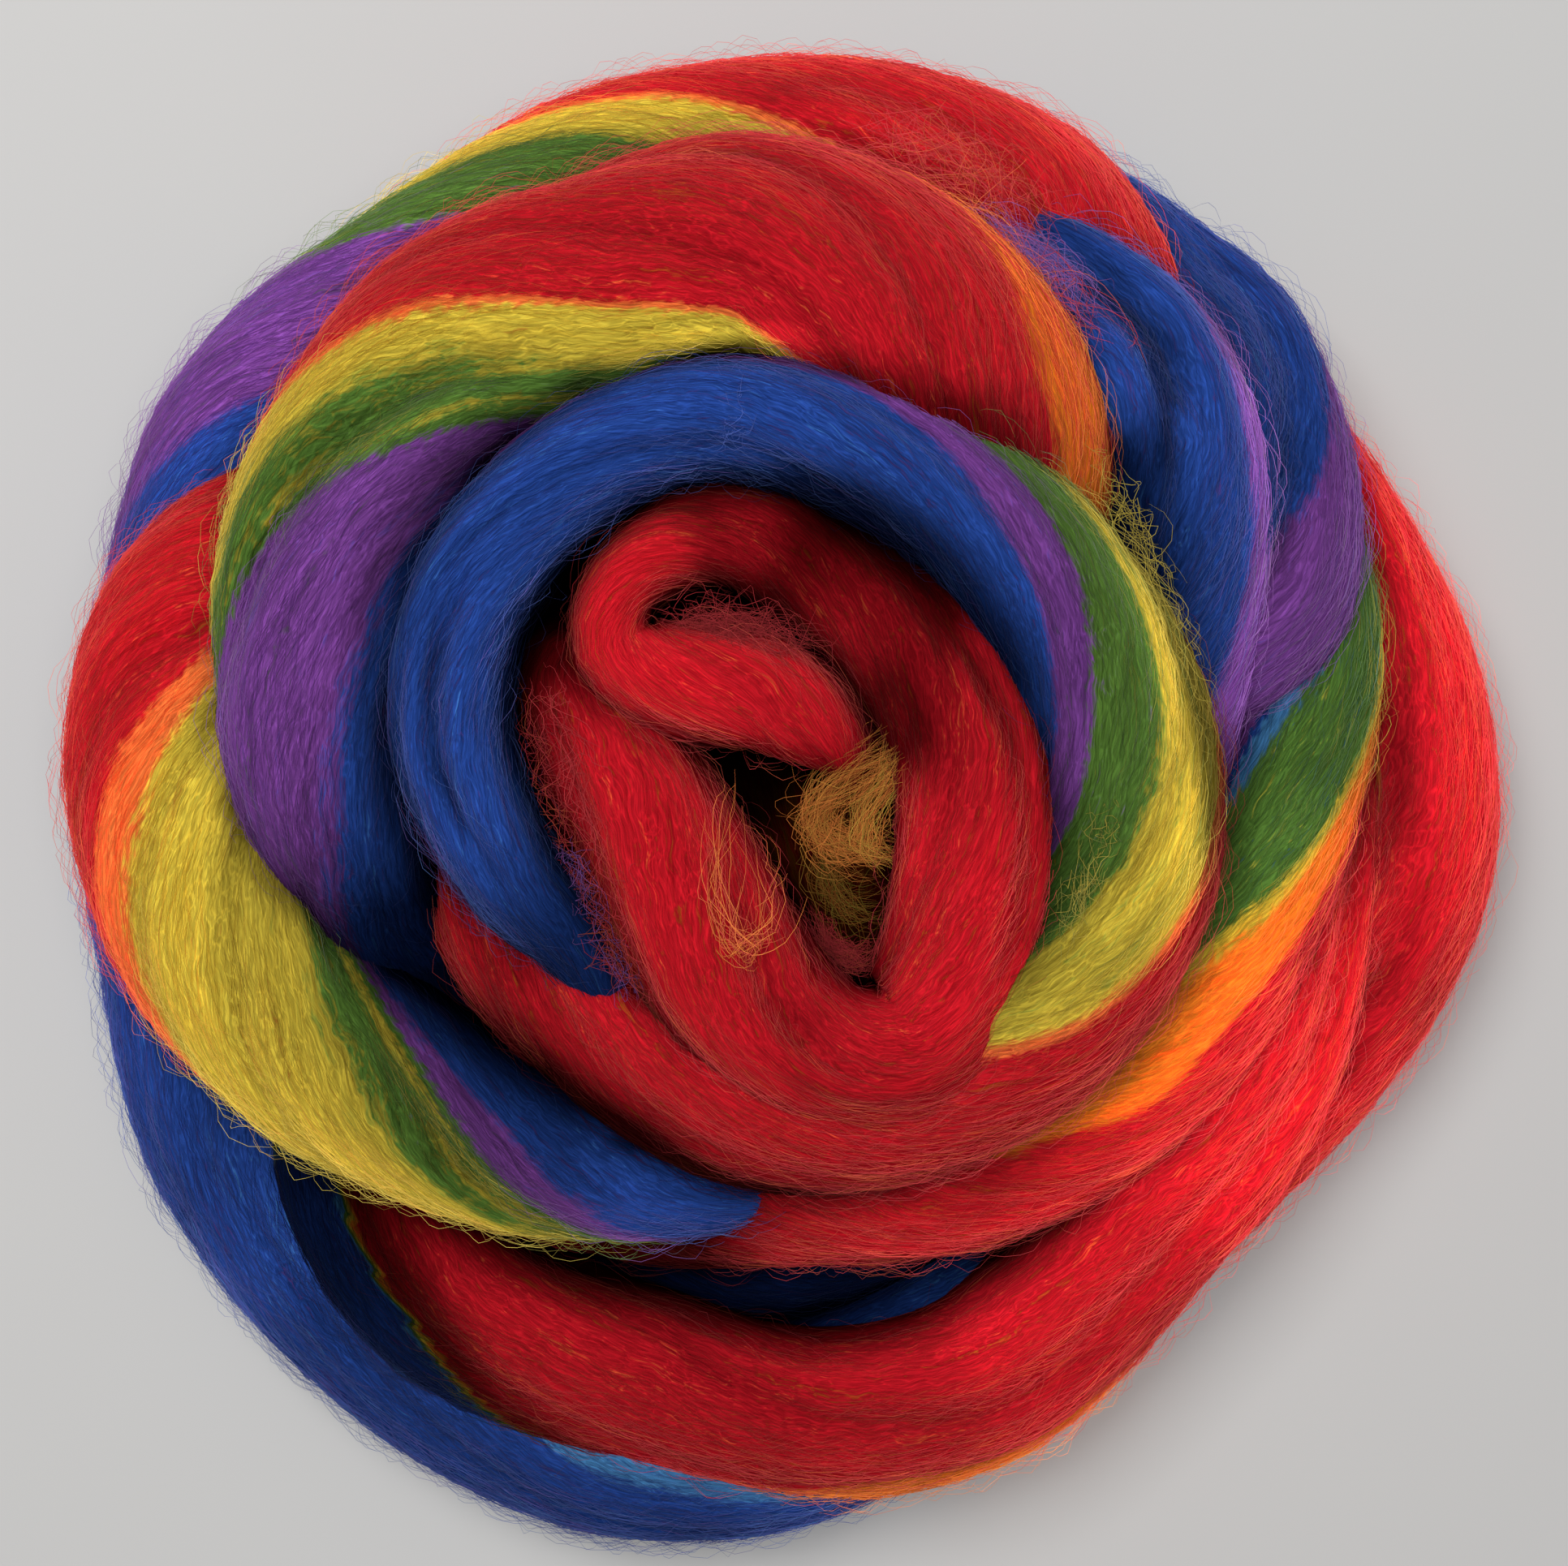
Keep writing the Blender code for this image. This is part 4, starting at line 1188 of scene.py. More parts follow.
    def find_openness(self, meshes: dict[str, bpy.types.Mesh]) -> None:
        """Store how openly each place lies, for its fibres and for the shade painted into its colour.

        Fibres grow where lines of sight leave the nest. Wool that faces other wool lies
        in its own shade, which is painted into its colour as a darker tone.

        Args:
            meshes: mesh of each run, by the run's name.
        """
        vertices, faces, base = [], [], 0
        for mesh in meshes.values():
            vertices += [vertex.co.copy() for vertex in mesh.vertices]
            faces += [[base + v for v in polygon.vertices] for polygon in mesh.polygons]
            base += len(mesh.vertices)
        tree = BVHTree.FromPolygons(vertices, faces)
        rings = np.arange(0, len(self.along), self.sight_step[0])
        columns = np.arange(0, self.around, self.sight_step[1])
        sampled = np.array([[self.sight(tree, ring, column) for column in columns] for ring in rings])
        bare = self.spread(sampled[..., 0], rings, columns)
        depth = self.spread(self.fill_buried(sampled[..., 1]), rings, columns)
        # painted shade: the less free distance a place has, the darker its colour
        clear = np.clip((depth - self.dark_below) / (self.light_above - self.dark_below), 0.0, 1.0)
        shown = self.least_light + (1.0 - self.least_light) * clear**self.shade_power
        for name, mesh in meshes.items():
            first, last = self.ring_range(RUNS[name])
            open_share = bare[first : last + 1].copy()
            open_share[0] = open_share[-1] = 0.0
            self.point_attribute(mesh, "bare", open_share)
            # painted light and shade: the shade from the openness, times the turn's painted tone
            self.point_attribute(mesh, "light", (shown * self.tone)[first : last + 1])

    def spread(self, coarse: np.ndarray, rings: np.ndarray, columns: np.ndarray) -> np.ndarray:
        """Values for every point, from those at some of them.

        Args:
            coarse: the known values.
            rings: numbers of their rings.
            columns: numbers of their points on a ring.

        Returns:
            One value for each ring and point.
        """
        closed = np.column_stack((coarse, coarse[:, 0]))
        stops = np.append(columns, self.around)
        wide = np.array([np.interp(np.arange(self.around), stops, row) for row in closed])
        every = np.arange(len(self.along))
        return np.array([np.interp(every, rings, column) for column in wide.T]).T

    def sight(self, tree: BVHTree, ring: int, column: int) -> tuple[float, float]:
        """How freely one place looks out.

        Args:
            tree: all the runs' surfaces.
            ring: number of the ring.
            column: number of the point on it.

        Returns:
            Share of the steep lines of sight that leave the nest, and the mean share
            of the near distance that is free along all lines, or -1 in buried wool.
        """
        place = Vector(self.points[ring, column])
        normal = Vector(self.normals[ring, column])
        if place.z < self.on_table * MM and normal.z < 0.0:
            return (0.0, self.light_above)
        start = place + normal * self.sight_start * MM
        side = normal.orthogonal().normalized()
        other = normal.cross(side)
        steep, free, clear, total, blind = 0, 0, 0.0, 0.0, 0
        for lean, weight in self.sight_leans:
            for number in range(1 if lean == 0.0 else self.sights_round):
                turned = number * 2.0 * math.pi / self.sights_round + lean
                way = normal + (side * math.cos(turned) + other * math.sin(turned)) * lean
                hit = tree.ray_cast(start, way.normalized(), self.open_reach * MM)
                gone = hit[0] is None
                steep += lean < self.steep_lean
                free += gone and lean < self.steep_lean
                blind += not gone and hit[1].dot(way) > 0.0
                total += weight
                clear += weight * (1.0 if gone else min(1.0, hit[3] / (self.near_reach * MM)))
        return (free / steep, -1.0 if blind > self.most_blind else clear / total)

    def fill_buried(self, depth: np.ndarray) -> np.ndarray:
        """Carry the depth of the places in sight into the buried ones beside them.

        Args:
            depth: free distance at the sampled places, -1 where they are buried.

        Returns:
            The same with every place filled.
        """
        for _ in range(self.fill_steps):
            seen = depth >= 0.0
            known = np.where(seen, depth, 0.0)
            shifts = ((1, 0), (-1, 0), (1, 1), (-1, 1))
            near = sum(np.roll(known, step, axis) for step, axis in shifts)
            count = sum(np.roll(seen.astype(float), step, axis) for step, axis in shifts)
            mean = near / np.maximum(count, 1.0)
            depth = np.where(seen, depth, np.where(count > 0.0, mean, -1.0))
        return np.maximum(depth, 0.0)


class FibreLay(Enum):
    """Ways that loose fibres lie on the strand."""

    COMBED = "combed_fibres"
    FRIZZ = "frizz"


@dataclass(frozen=True)
class FibreCover:
    """Loose fibres along the strand, laid by Geometry Nodes.

    Attributes:
        lay: which fibres these are.
        density: fibres on a square metre of open surface.
        length: mean length, mm.
        spread: share by which a length varies either way.
        width: mm. A fibre is 0.02 mm; this is as coarse as it needs to be to show.
        lift: height of the arch that a fibre stands up in, mm.
        stray: how far its middle wanders, mm.
        sideways: how far it turns off the combed direction, share of its length.
        stations: points along it.
        seed: fixed seed.
        paler: painted highlight, how much lighter it looks than the wool below.
        pale: painted sheen, the share of pale white mixed into its dye.
        tip: width of its two ends, as a share of its middle's.
        rest_height: how far above the surface its ends lie, mm.
        floor: least height above the table, mm.
        girth: way round the strand, for fibres that turn off sideways, mm.
        curls: bends of its wandering on its length.
    """

    lay: FibreLay
    density: float
    length: float
    spread: float
    width: float
    lift: float
    stray: float
    sideways: float
    stations: int
    seed: int
    paler: float
    pale: float
    tip: float = 0.25
    rest_height: float = 0.08
    floor: float = 0.15
    girth: float = 90.0
    curls: float = 1.8

    def sockets(self) -> dict[str, tuple[str, float]]:
        """Sizes of the fibres for the tree.

        Returns:
            Each named input's socket type and its value, in metres.
        """
        return {
            "Density": ("NodeSocketFloat", self.density),
            "Length": ("NodeSocketFloat", self.length * MM),
            "Spread": ("NodeSocketFloat", self.spread),
            "Width": ("NodeSocketFloat", self.width * MM),
            "Lift": ("NodeSocketFloat", self.lift * MM),
            "Stray": ("NodeSocketFloat", self.stray * MM),
            "Sideways": ("NodeSocketFloat", self.sideways),
            "Girth": ("NodeSocketFloat", self.girth * MM),
            "Curls": ("NodeSocketFloat", self.curls),
            "Tip": ("NodeSocketFloat", self.tip),
            "Rest Height": ("NodeSocketFloat", self.rest_height * MM),
            "Floor": ("NodeSocketFloat", self.floor * MM),
            "Stations": ("NodeSocketInt", self.stations),
            "Seed": ("NodeSocketInt", self.seed),
        }

    def tree(self, finish: bpy.types.Material) -> bpy.types.NodeTree:
        """The node tree that lays the fibres.

        Args:
            finish: material of the fibres.

        Returns:
            The tree, with one named input for each size.
        """
        tree = bpy.data.node_groups.new(self.lay.value, "GeometryNodeTree")
        tree.interface.new_socket("Geometry", in_out="INPUT", socket_type="NodeSocketGeometry")
        for name, (kind, _) in self.sockets().items():
            tree.interface.new_socket(name, in_out="INPUT", socket_type=kind)
        tree.interface.new_socket("Geometry", in_out="OUTPUT", socket_type="NodeSocketGeometry")
        given = add_node(tree, "NodeGroupInput").node.outputs
        curves = self.lay_curves(tree, given, self.scatter_roots(tree, given))
        factor = add_node(tree, "GeometryNodeSplineParameter")
        ends = (self.arch(tree, factor), 0.0, 1.0, given["Tip"], 1.0)
        taper = add_node(tree, "ShaderNodeMapRange", ends, interpolation_type="SMOOTHSTEP")
        flat = ((-0.5, 0.0, 0.0), (0.5, 0.0, 0.0))
        parts = {
            "Curve": curves,
            "Profile Curve": add_node(tree, "GeometryNodeCurvePrimitiveLine", flat),
            "Scale": product(tree, taper, given["Width"]),
        }
        ribbon = add_node(tree, "GeometryNodeCurveToMesh", parts)
        smooth = add_node(tree, "GeometryNodeSetShadeSmooth", (ribbon,))
        whole = add_node(tree, "GeometryNodeRealizeInstances", (smooth,))
        dressed = add_node(tree, "GeometryNodeSetMaterial", {"Geometry": whole, "Material": finish})
        add_node(tree, "NodeGroupOutput", (dressed,))
        return tree

    def arch(self, tree: bpy.types.NodeTree, factor: Socket) -> Socket:
        """A round arch over a fibre: 0 at both its ends and 1 at its middle."""
        rest = add_node(tree, "ShaderNodeMath", (1.0, factor), operation="SUBTRACT")
        return product(tree, factor, rest, 4.0)

    def scatter_roots(self, tree: bpy.types.NodeTree, given: bpy.types.NodeOutputs) -> Socket:
        """Points on the open surface, each with its place in the flow and its chances.

        Args:
            tree: the node tree.
            given: its named inputs.

        Returns:
            The points.
        """
        bare, flow = (
            add_node(tree, "GeometryNodeInputNamedAttribute", {"Name": name}, data_type=kind)
            for name, kind in (("bare", "FLOAT"), ("flow", "FLOAT_VECTOR"))
        )
        density = product(tree, given["Density"], bare)
        open_wool = {"Mesh": given["Geometry"], "Density": density, "Seed": given["Seed"]}
        points = add_node(
            tree, "GeometryNodeDistributePointsOnFaces", open_wool, distribute_method="RANDOM"
        )
        place = add_node(tree, "ShaderNodeSeparateXYZ", (flow,)).node.outputs
        values = {"root_round": place[0], "root_along": place[1]}
        lowest = {"chance": 0.0, "own_length": -1.0, "own_turn": -1.0, "own_lift": 0.0}
        for number, (name, low) in enumerate(lowest.items(), 1):
            ends = {"Min": low, "Max": 1.0, "Seed": self.seed * 100 + number}
            values[name] = add_node(tree, "FunctionNodeRandomValue", ends, data_type="FLOAT")
        for name, value in values.items():
            stored = {"Geometry": points, "Name": name, "Value": value}
            points = add_node(
                tree, "GeometryNodeStoreNamedAttribute", stored, data_type="FLOAT", domain="POINT"
            )
        return points

    def lay_curves(
        self, tree: bpy.types.NodeTree, given: bpy.types.NodeOutputs, roots: Socket
    ) -> Socket:
        """One curve for each root, bent to the surface along the combed direction.

        Args:
            tree: the node tree.
            given: its named inputs.
            roots: the fibres' roots.

        Returns:
            The curves, which face away from the surface.
        """
        line = add_node(tree, "GeometryNodeCurvePrimitiveLine", ((0.0, 0.0, 0.0), (1.0, 0.0, 0.0)))
        stationed = {"Curve": line, "Count": given["Stations"]}
        fibre = add_node(tree, "GeometryNodeResampleCurve", stationed)
        planted = add_node(tree, "GeometryNodeInstanceOnPoints", {"Points": roots, "Instance": fibre})
        curves = add_node(tree, "GeometryNodeRealizeInstances", (planted,))

        own = {
            name: add_node(tree, "GeometryNodeInputNamedAttribute", {"Name": name}, data_type="FLOAT")
            for name in ("wind", "root_round", "root_along", "own_length", "own_turn", "own_lift")
        }
        factor = add_node(tree, "GeometryNodeSplineParameter")
        middle = add_node(tree, "ShaderNodeMath", (factor, 0.5), operation="SUBTRACT")
        varied = (1.0, product(tree, own["own_length"], given["Spread"]))
        length = product(
            tree, given["Length"], add_node(tree, "ShaderNodeMath", varied, operation="ADD")
        )
        run = product(tree, middle, length)
        turned = product(tree, run, product(tree, own["wind"], 1.0 / MM))
        drift = product(tree, own["own_turn"], given["Sideways"])
        sideways = (product(tree, run, drift), given["Girth"])
        strayed = add_node(tree, "ShaderNodeMath", sideways, operation="DIVIDE")
        off_line = add_node(tree, "ShaderNodeMath", (turned, strayed), operation="ADD")
        round_it = add_node(tree, "ShaderNodeMath", (own["root_round"], off_line), operation="ADD")
        along_it = add_node(tree, "ShaderNodeMath", (own["root_along"], run), operation="ADD")
        once_round = add_node(tree, "ShaderNodeMath", (round_it,), operation="FRACT")
        target = add_node(tree, "ShaderNodeCombineXYZ", (once_round, along_it))
        place = self.on_surface(tree, given, target, "GeometryNodeInputPosition")
        normal = self.on_surface(tree, given, target, "GeometryNodeInputNormal")

        lift = add_node(tree, "ShaderNodeMath", (own["own_lift"], 2.0), operation="POWER")
        arch = product(tree, self.arch(tree, factor), given["Lift"], lift)
        height = add_node(tree, "ShaderNodeMath", (arch, given["Rest Height"]), operation="ADD")
        lifted = add_node(tree, "ShaderNodeVectorMath", (normal, height), operation="SCALE")
        stray = self.wander(tree, given, factor)
        offset = add_node(tree, "ShaderNodeVectorMath", (lifted, stray), operation="ADD")
        moved = add_node(tree, "ShaderNodeVectorMath", (place, offset), operation="ADD")
        # its x and y lie below those of every fibre, so that it holds up their height alone
        floor = add_node(tree, "ShaderNodeCombineXYZ", (-10.0, -10.0, given["Floor"]))
        above = add_node(tree, "ShaderNodeVectorMath", (moved, floor), operation="MAXIMUM")
        laid = add_node(tree, "GeometryNodeSetPosition", {"Geometry": curves, "Position": above})
        # a place past the end of the run has no surface to lie on
        valid = place.node.outputs["Is Valid"]
        lost = add_node(tree, "FunctionNodeBooleanMath", (valid,), operation="NOT")
        chosen = {"Geometry": laid, "Selection": lost}
        whole = add_node(tree, "GeometryNodeDeleteGeometry", chosen, domain="POINT")
        facing = {"Curve": whole, "Normal": normal}
        return add_node(tree, "GeometryNodeSetCurveNormal", facing, mode="FREE")

    def on_surface(
        self, tree: bpy.types.NodeTree, given: bpy.types.NodeOutputs, target: Socket, kind: str
    ) -> Socket:
        """Read a vector from the strand's surface.

        Args:
            tree: the node tree.
            given: its named inputs.
            target: the place to read, in the flow map.
            kind: type of the input node that gives the vector.

        Returns:
            The vector. Its node also tells whether the place is valid.
        """
        named = ("GeometryNodeInputNamedAttribute", {"Name": "flow"})
        inputs = {
            "Mesh": given["Geometry"],
            "Value": add_node(tree, kind),
            "UV Map": add_node(tree, *named, data_type="FLOAT_VECTOR"),
            "Sample UV": target,
        }
        return add_node(tree, "GeometryNodeSampleUVSurface", inputs, data_type="FLOAT_VECTOR")

    def wander(
        self, tree: bpy.types.NodeTree, given: bpy.types.NodeOutputs, factor: Socket
    ) -> Socket:
        """Soft curl of each fibre, none where it leaves the surface.

        Args:
            tree: the node tree.
            given: its named inputs.
            factor: place along the fibre, from 0 to 1.

        Returns:
            The offset at that place.
        """
        named = ("GeometryNodeInputNamedAttribute", {"Name": "chance"})
        # each fibre reads the noise far from where the others do
        own = product(tree, add_node(tree, *named, data_type="FLOAT"), 9000.0)
        bends = product(tree, factor, given["Curls"])
        where = add_node(tree, "ShaderNodeCombineXYZ", (own, bends))
        reach = product(tree, given["Stray"], self.arch(tree, factor), 4.0)
        return sway(tree, where, 1.0, reach)

    def mesh_on(self, base: bpy.types.Mesh, tree: bpy.types.NodeTree, name: str) -> bpy.types.Mesh:
        """Plain mesh of the fibres on one run of the strand.

        Args:
            base: the run's mesh.
            tree: the tree that lays the fibres.
            name: name of the new mesh.

        Returns:
            The fibres alone, with their material and attributes.
        """
        carrier = link_object(name + "_carrier", base)
        modifier = carrier.modifiers.new(name, "NODES")
        modifier.node_group = tree
        sizes = self.sockets()
        for item in tree.interface.items_tree:
            if item.item_type == "SOCKET" and item.in_out == "INPUT" and item.name in sizes:
                modifier[item.identifier] = sizes[item.name][1]
        bpy.context.view_layer.update()
        evaluated = carrier.evaluated_get(bpy.context.evaluated_depsgraph_get())
        mesh = bpy.data.meshes.new_from_object(evaluated)
        bpy.data.objects.remove(carrier)
        mesh.name = name
        return mesh


@dataclass(frozen=True)
class Wisp:
    """A loose tuft of long hairs that has come away from the strand.

    name: what the tuft is. dye: its place on the dye wheel. hairs: how many. path: the
    tuft's middle line, mm. spread: how far its hairs lie from that line, mm. curl: how
    far each one swings, mm. reach: mean share of the path that one hair covers. light:
    how much of the light the tuft keeps where it lies.
    """

    name: str
    dye: float
    hairs: int
    path: tuple[Row, ...]
    spread: float
    curl: float
    reach: float = 0.6
    light: float = 1.0


WISPS: tuple[Wisp, ...] = (
    Wisp("gold_sheaf", 48.75, 170, (
        (18.0, 10.5, 56.0), (12.0, 7.5, 53.5), (6.0, 3.5, 49.5), (3.6, -1.0, 47.0), (6.5, -5.0, 46.0),
        (12.0, -5.5, 47.5), (18.0, -3.0, 50.0),
    ), 2.3, 1.1, 0.6, 0.5),
    Wisp("tip_sheaf", 48.6, 120, (
        (17.5, 11.5, 56.0), (16.0, 6.5, 53.0), (12.0, 1.0, 49.0), (11.0, -5.0, 47.0),
        (16.0, -8.0, 48.0),
    ), 1.7, 0.7, 0.7, 0.6),
    Wisp("ring_gold", 42.4, 80, (
        (40.0, -26.0, 58.5), (44.0, -15.0, 60.0), (46.5, -4.0, 61.0), (47.5, 5.0, 61.5),
    ), 1.6, 1.2, 0.24, 0.6),
    Wisp("olive_sheaf", 48.55, 110, (
        (15.0, -1.0, 46.0), (8.0, -4.0, 43.0), (5.5, -10.0, 42.0), (9.0, -15.5, 41.5),
        (16.0, -15.0, 43.0),
    ), 2.2, 0.9, 0.6, 0.17),
    Wisp("rim_hairs", 49.9, 130, (
        (4.0, -16.0, 42.0), (6.0, -21.0, 43.0), (10.5, -23.5, 44.0), (15.0, -21.0, 45.0),
    ), 1.4, 0.8, 0.6, 0.35),
    Wisp("left_wall_loop", 49.4, 44, (
        (-9.0, 8.5, 57.5), (-10.5, -1.0, 60.5), (-11.0, -11.0, 62.0), (-9.5, -18.0, 62.0),
        (-6.5, -21.0, 61.5), (-3.8, -18.0, 60.0), (-3.0, -10.0, 58.5), (-6.0, -2.0, 59.5),
    ), 1.3, 1.3, 0.45, 0.85),
    Wisp("tail_fuzz", 44.0, 50, (
        (-34.5, -3.0, 58.0), (-31.5, -12.0, 57.5), (-27.5, -21.0, 57.0), (-22.5, -29.0, 55.5),
    ), 1.4, 1.2, 0.2, 0.42),
    Wisp("eye_web", 50.0, 170, (
        (-20.0, 28.5, 58.5), (-12.0, 29.0, 59.5), (-4.0, 28.0, 59.5), (5.0, 23.5, 58.5),
    ), 2.0, 1.5, 0.35, 0.4),
    Wisp("left_crease", 49.85, 130, (
        (-41.0, 19.0, 56.0), (-37.5, 6.0, 56.5), (-32.0, -9.0, 57.0), (-27.0, -21.0, 56.5),
        (-20.5, -31.0, 55.0),
    ), 1.7, 1.5, 0.16, 0.35),
    Wisp("heart_edge", 50.0, 90, (
        (-38.0, 22.0, 57.0), (-33.0, 8.0, 58.0), (-27.0, -9.0, 59.0), (-20.0, -24.0, 58.0),
    ), 1.9, 1.3, 0.2, 0.6),
    Wisp("upper_fuzz", 29.8, 120, (
        (14.0, 93.0, 49.5), (24.0, 88.5, 50.5), (34.0, 84.0, 50.5), (42.0, 78.0, 49.5),
        (50.0, 71.0, 49.5),
    ), 3.4, 2.4, 0.45, 0.85),
    Wisp("loose_crown", 29.8, 150, (
        (12.0, 108.0, 44.0), (22.0, 105.0, 46.0), (32.0, 99.0, 48.0), (42.0, 91.0, 48.0),
    ), 3.6, 1.7, 0.3, 0.9),
    Wisp("gap_curls", 42.0, 70, (
        (45.5, 55.5, 56.0), (52.0, 45.0, 56.5), (56.5, 34.5, 57.0), (60.5, 24.0, 58.0),
        (63.5, 11.0, 58.0),
    ), 1.5, 1.15, 0.17, 0.5),
    Wisp("lilac_fuzz", 24.3, 120, (
        (25.0, 95.0, 47.0), (34.0, 90.0, 48.5), (42.0, 84.0, 49.5), (49.0, 76.0, 50.0),
    ), 2.2, 1.6, 0.45, 0.9),
    Wisp("crown_hairs", 30.0, 3, (
        (-8.5, 90.0, 60.0), (-6.0, 87.0, 61.0), (-7.5, 84.0, 61.5), (-4.0, 80.5, 62.0),
    ), 0.4, 1.4, 0.9, 1.2),
    Wisp("ring_spur", 45.0, 46, (
        (-9.0, 66.0, 64.0), (-8.0, 61.0, 65.3), (-9.5, 57.0, 64.8),
    ), 1.2, 0.9, 0.7, 1.15),
    Wisp("top_flyaways", 30.0, 26, (
        (-42.0, 103.0, 26.0), (-24.0, 113.0, 28.0), (0.0, 117.5, 28.0), (24.0, 116.0, 28.0),
        (44.0, 107.0, 28.0),
    ), 2.6, 2.8, 0.14),
)


@dataclass(frozen=True)
class WispMaker:
    """Turns tufts into ribbons, one for each hair."""

    width: float = 0.07             # mm
    stations: int = 13
    seed: int = 17
    floor: float = 0.2              # least height above the table, mm
    tip: float = 0.25               # where a hair starts on the half wave of its width
    flat: float = 0.35              # height of a tuft as a share of its width
    flat_curl: float = 0.4          # the same for the swing of one hair
    own_reach: tuple[float, float] = (0.6, 1.4)     # of one hair, times its tuft's
    swings: tuple[float, ...] = (1.0, 2.3)          # waves of its curl on its length
    own_pace: tuple[float, float] = (0.7, 1.3)      # of its waves, times the swings
    rounding: int = 3               # passes that round the corners of a tuft's path

    def hair(self, wisp: Wisp, rng: np.random.Generator) -> np.ndarray:
        """Middle line of one hair, in mm.

        Args:
            wisp: the tuft it belongs to.
            rng: source of its chances.

        Returns:
            One row of x, y and z for each station.
        """
        path = np.array(wisp.path)
        knots = np.linspace(0.0, 1.0, len(path))
        smooth = np.linspace(0.0, 1.0, 60)
        line = np.stack([np.interp(smooth, knots, axis) for axis in path.T], axis=1)
        for _ in range(self.rounding):
            line[1:-1] = (line[:-2] + 2.0 * line[1:-1] + line[2:]) / 4.0
        cover = min(1.0, wisp.reach * rng.uniform(*self.own_reach))
        start = rng.uniform(0.0, 1.0 - cover)
        when = np.linspace(start, start + cover, self.stations)
        hair = np.stack([np.interp(when, smooth, axis) for axis in line.T], axis=1)
        loose = np.linspace(0.0, 1.0, self.stations)[:, None]
        offset = rng.normal(0.0, wisp.spread, (2, 3)) * (1.0, 1.0, self.flat)
        hair += offset[0] * (1.0 - loose) + offset[1] * loose
        for turns in self.swings:
            phase = rng.uniform(0.0, 2.0 * math.pi, 3)
            pace = turns * rng.uniform(*self.own_pace)
            swing = rng.normal(0.0, wisp.curl / turns, 3) * (1.0, 1.0, self.flat_curl)
            hair += swing * np.sin(2.0 * math.pi * pace * loose + phase)
        return hair

    def mesh(self) -> bpy.types.Mesh:
        """Make every tuft's hairs.

        Returns:
            One mesh of them all, with their dyes, chances and lights.
        """
        rng = np.random.default_rng(self.seed)
        points: list[np.ndarray] = []
        values: dict[str, list[float]] = {"stripe": [], "chance": [], "light": []}
        taper = np.sin(np.linspace(self.tip, math.pi - self.tip, self.stations))[:, None]
        for wisp in WISPS:
            for _ in range(wisp.hairs):
                hair = self.hair(wisp, rng)
                side = np.cross(np.gradient(hair, axis=0), (0.0, 0.0, 1.0))
                side /= np.maximum(np.linalg.norm(side, axis=1), 1e-9)[:, None]
                edge = side * taper * self.width / 2.0
                points.append(np.stack((hair - edge, hair + edge), axis=1).reshape(-1, 3))
                for name, value in zip(values, (wisp.dye, rng.uniform(), wisp.light)):
                    values[name] += [value] * (2 * self.stations)
        place = np.vstack(points)
        place[:, 2] = np.maximum(place[:, 2], self.floor)
        first = np.arange(len(points))[:, None] * 2 * self.stations
        corner = first + 2 * np.arange(self.stations - 1)[None, :]
        quads = np.stack((corner, corner + 1, corner + 3, corner + 2), axis=-1).reshape(-1, 4)
        mesh = bpy.data.meshes.new("loose_wisps")
        mesh.from_pydata((place * MM).tolist(), [], quads.tolist())
        for name, numbers in values.items():
            mesh.attributes.new(name, "FLOAT", "POINT").data.foreach_set("value", numbers)
        mesh.shade_smooth()
        return mesh


@dataclass
class Nest:
    """The wound nest: the strand's runs, and the fibres on them."""

    strand: Strand = field(default_factory=Strand)
    body: CombedMerinoTop = field(default_factory=CombedMerinoTop)
    covers: tuple[FibreCover, ...] = (
        FibreCover(
            lay=FibreLay.COMBED, density=640000, length=9.0, spread=0.5, width=0.12, lift=0.7,
            stray=0.3, sideways=0.25, stations=4, seed=3, paler=1.3, pale=0.05,
        ),
        FibreCover(
            lay=FibreLay.FRIZZ, density=290000, length=9.0, spread=0.6, width=0.055, lift=3.6,
            stray=1.0, sideways=0.9, stations=7, seed=5, paler=1.4, pale=0.08,
        ),
    )

    def build(self) -> None:
        """Make, dress and register every piece."""
        wool = self.body.material()
        meshes = {name: self.strand.run_mesh(name, run) for name, run in RUNS.items()}
        self.strand.find_openness(meshes)
        for cover in self.covers:
            finish = LooseMerinoFibre("merino_" + cover.lay.value, paler=cover.paler, pale=cover.pale)
            tree = cover.tree(finish.material())
            for name, mesh in meshes.items():
                fibres = cover.mesh_on(mesh, tree, f"{name}_{cover.lay.value}")
                register(link_object(fibres.name, fibres))
        wisps = WispMaker().mesh()
        wisps.materials.append(LooseMerinoFibre("merino_wisps", scatter=0.3).material())
        register(link_object(wisps.name, wisps))
        for name, mesh in meshes.items():
            mesh.materials.append(wool)
            register(link_object(name, mesh))


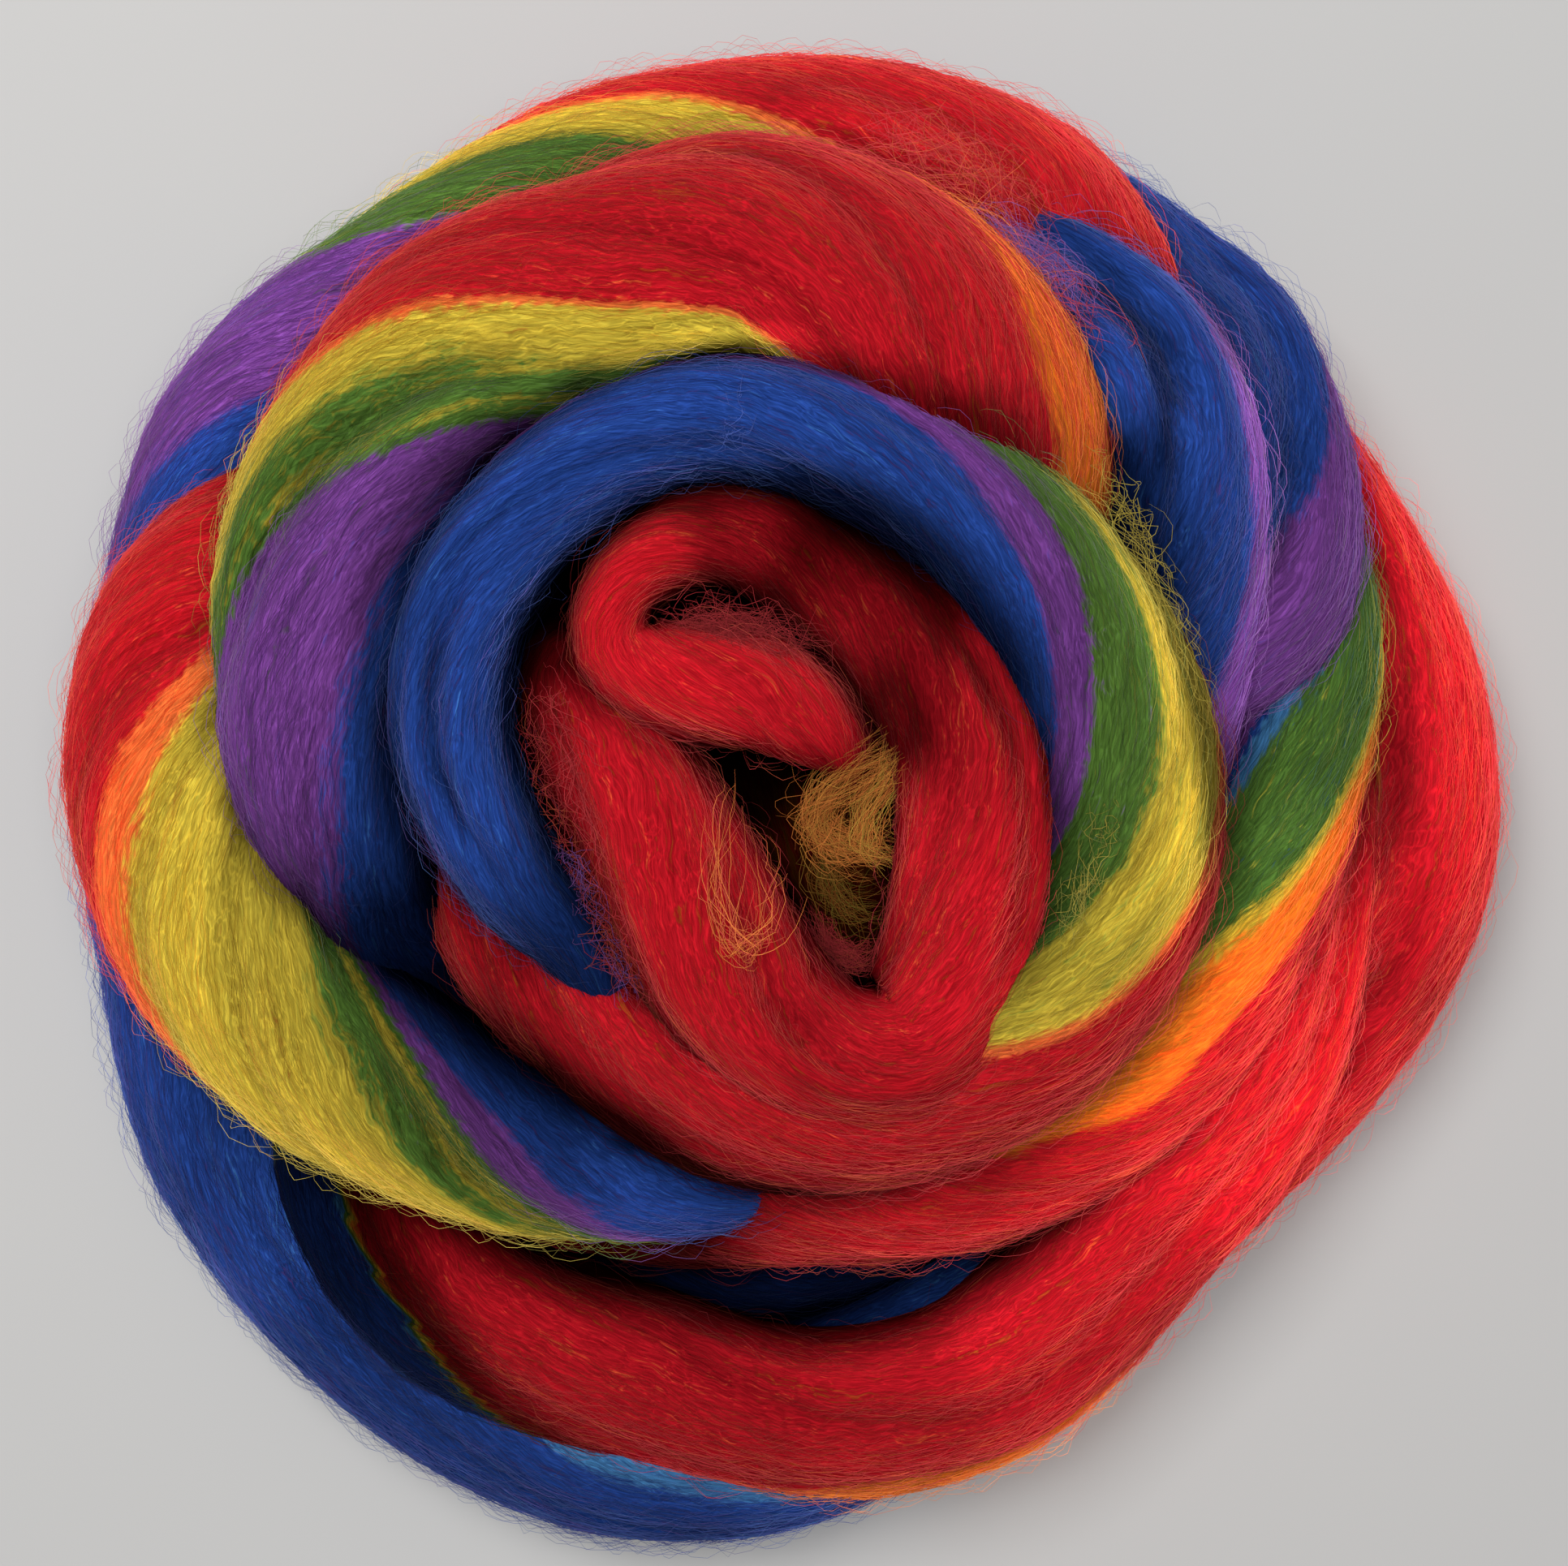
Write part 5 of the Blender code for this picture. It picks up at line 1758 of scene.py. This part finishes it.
@dataclass(frozen=True)
class Studio:
    """Pale table, soft daylight from above the upper left, and the camera overhead."""

    camera_height: float = 0.4492
    lens: float = 59.0
    table_reach: float = 3.0
    table_colour: str = "#D6D5D3"
    cloud_colour: str = "#D2D1D0"
    clouds: float = 9.0             # of the table's unevenness, on a metre
    room_light: float = 0.17

    def table_finish(self) -> bpy.types.Material:
        """Matte white laminate with a faint unevenness.

        Returns:
            The material.
        """
        material, colour = matte("matte_white_laminate", 0.6, 0.2)
        tree = material.node_tree
        place = add_node(tree, "ShaderNodeTexCoord").node.outputs["Object"]
        clouds = {"Vector": place, "Scale": self.clouds, "Detail": 2.0}
        share = add_node(tree, "ShaderNodeTexNoise", clouds)
        blend = (share, to_linear(self.table_colour), to_linear(self.cloud_colour))
        tree.links.new(add_node(tree, "ShaderNodeMix", blend, data_type="RGBA"), colour)
        return material

    def build(self) -> None:
        """Make the table, lights and camera."""
        reach = self.table_reach
        mesh = bpy.data.meshes.new("table")
        corners = [(x * reach, y * reach, 0.0) for x, y in ((-1, -1), (1, -1), (1, 1), (-1, 1))]
        mesh.from_pydata(corners, [], [(0, 1, 2, 3)])
        mesh.materials.append(self.table_finish())
        link_object("table", mesh)

        world = bpy.data.worlds.new("soft_room")
        world.use_nodes = True
        background = world.node_tree.nodes["Background"].inputs
        background["Color"].default_value = (1.0, 1.0, 1.0, 1.0)
        background["Strength"].default_value = self.room_light
        bpy.context.scene.world = world
        self.area_light("window", (-0.45, 0.55, 1.15), 0.7, 9.5)
        self.area_light("ceiling", (0.10, 0.0, 1.6), 0.9, 8.5)

        data = bpy.data.cameras.new("camera")
        data.sensor_fit = "HORIZONTAL"
        data.sensor_width = 36.0
        data.lens = self.lens
        data.clip_start, data.clip_end = 0.01, 20.0
        camera = link_object("camera", data)
        camera.location = (-NEST_MIDDLE[0] * MM, -NEST_MIDDLE[1] * MM, self.camera_height)
        bpy.context.scene.camera = camera
        bpy.context.scene.view_settings.view_transform = "Standard"
        LOG.info("studio: table, soft room, window, ceiling light and camera")

    def area_light(self, name: str, place: Row, size: float, power: float) -> None:
        """A square soft light that faces the nest.

        Args:
            name: name of the light.
            place: where it hangs, in metres.
            size: length of its side, in metres.
            power: watts.
        """
        data = bpy.data.lights.new(name, "AREA")
        data.size = size
        data.energy = power
        light = link_object(name, data)
        light.location = place
        light.rotation_euler = (-Vector(place)).to_track_quat("-Z", "Y").to_euler()


def main() -> None:
    """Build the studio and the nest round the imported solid."""
    logging.basicConfig(level=logging.INFO, format="%(name)s: %(message)s")
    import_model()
    Studio().build()
    Nest().build()


if __name__ == "__main__":
    main()
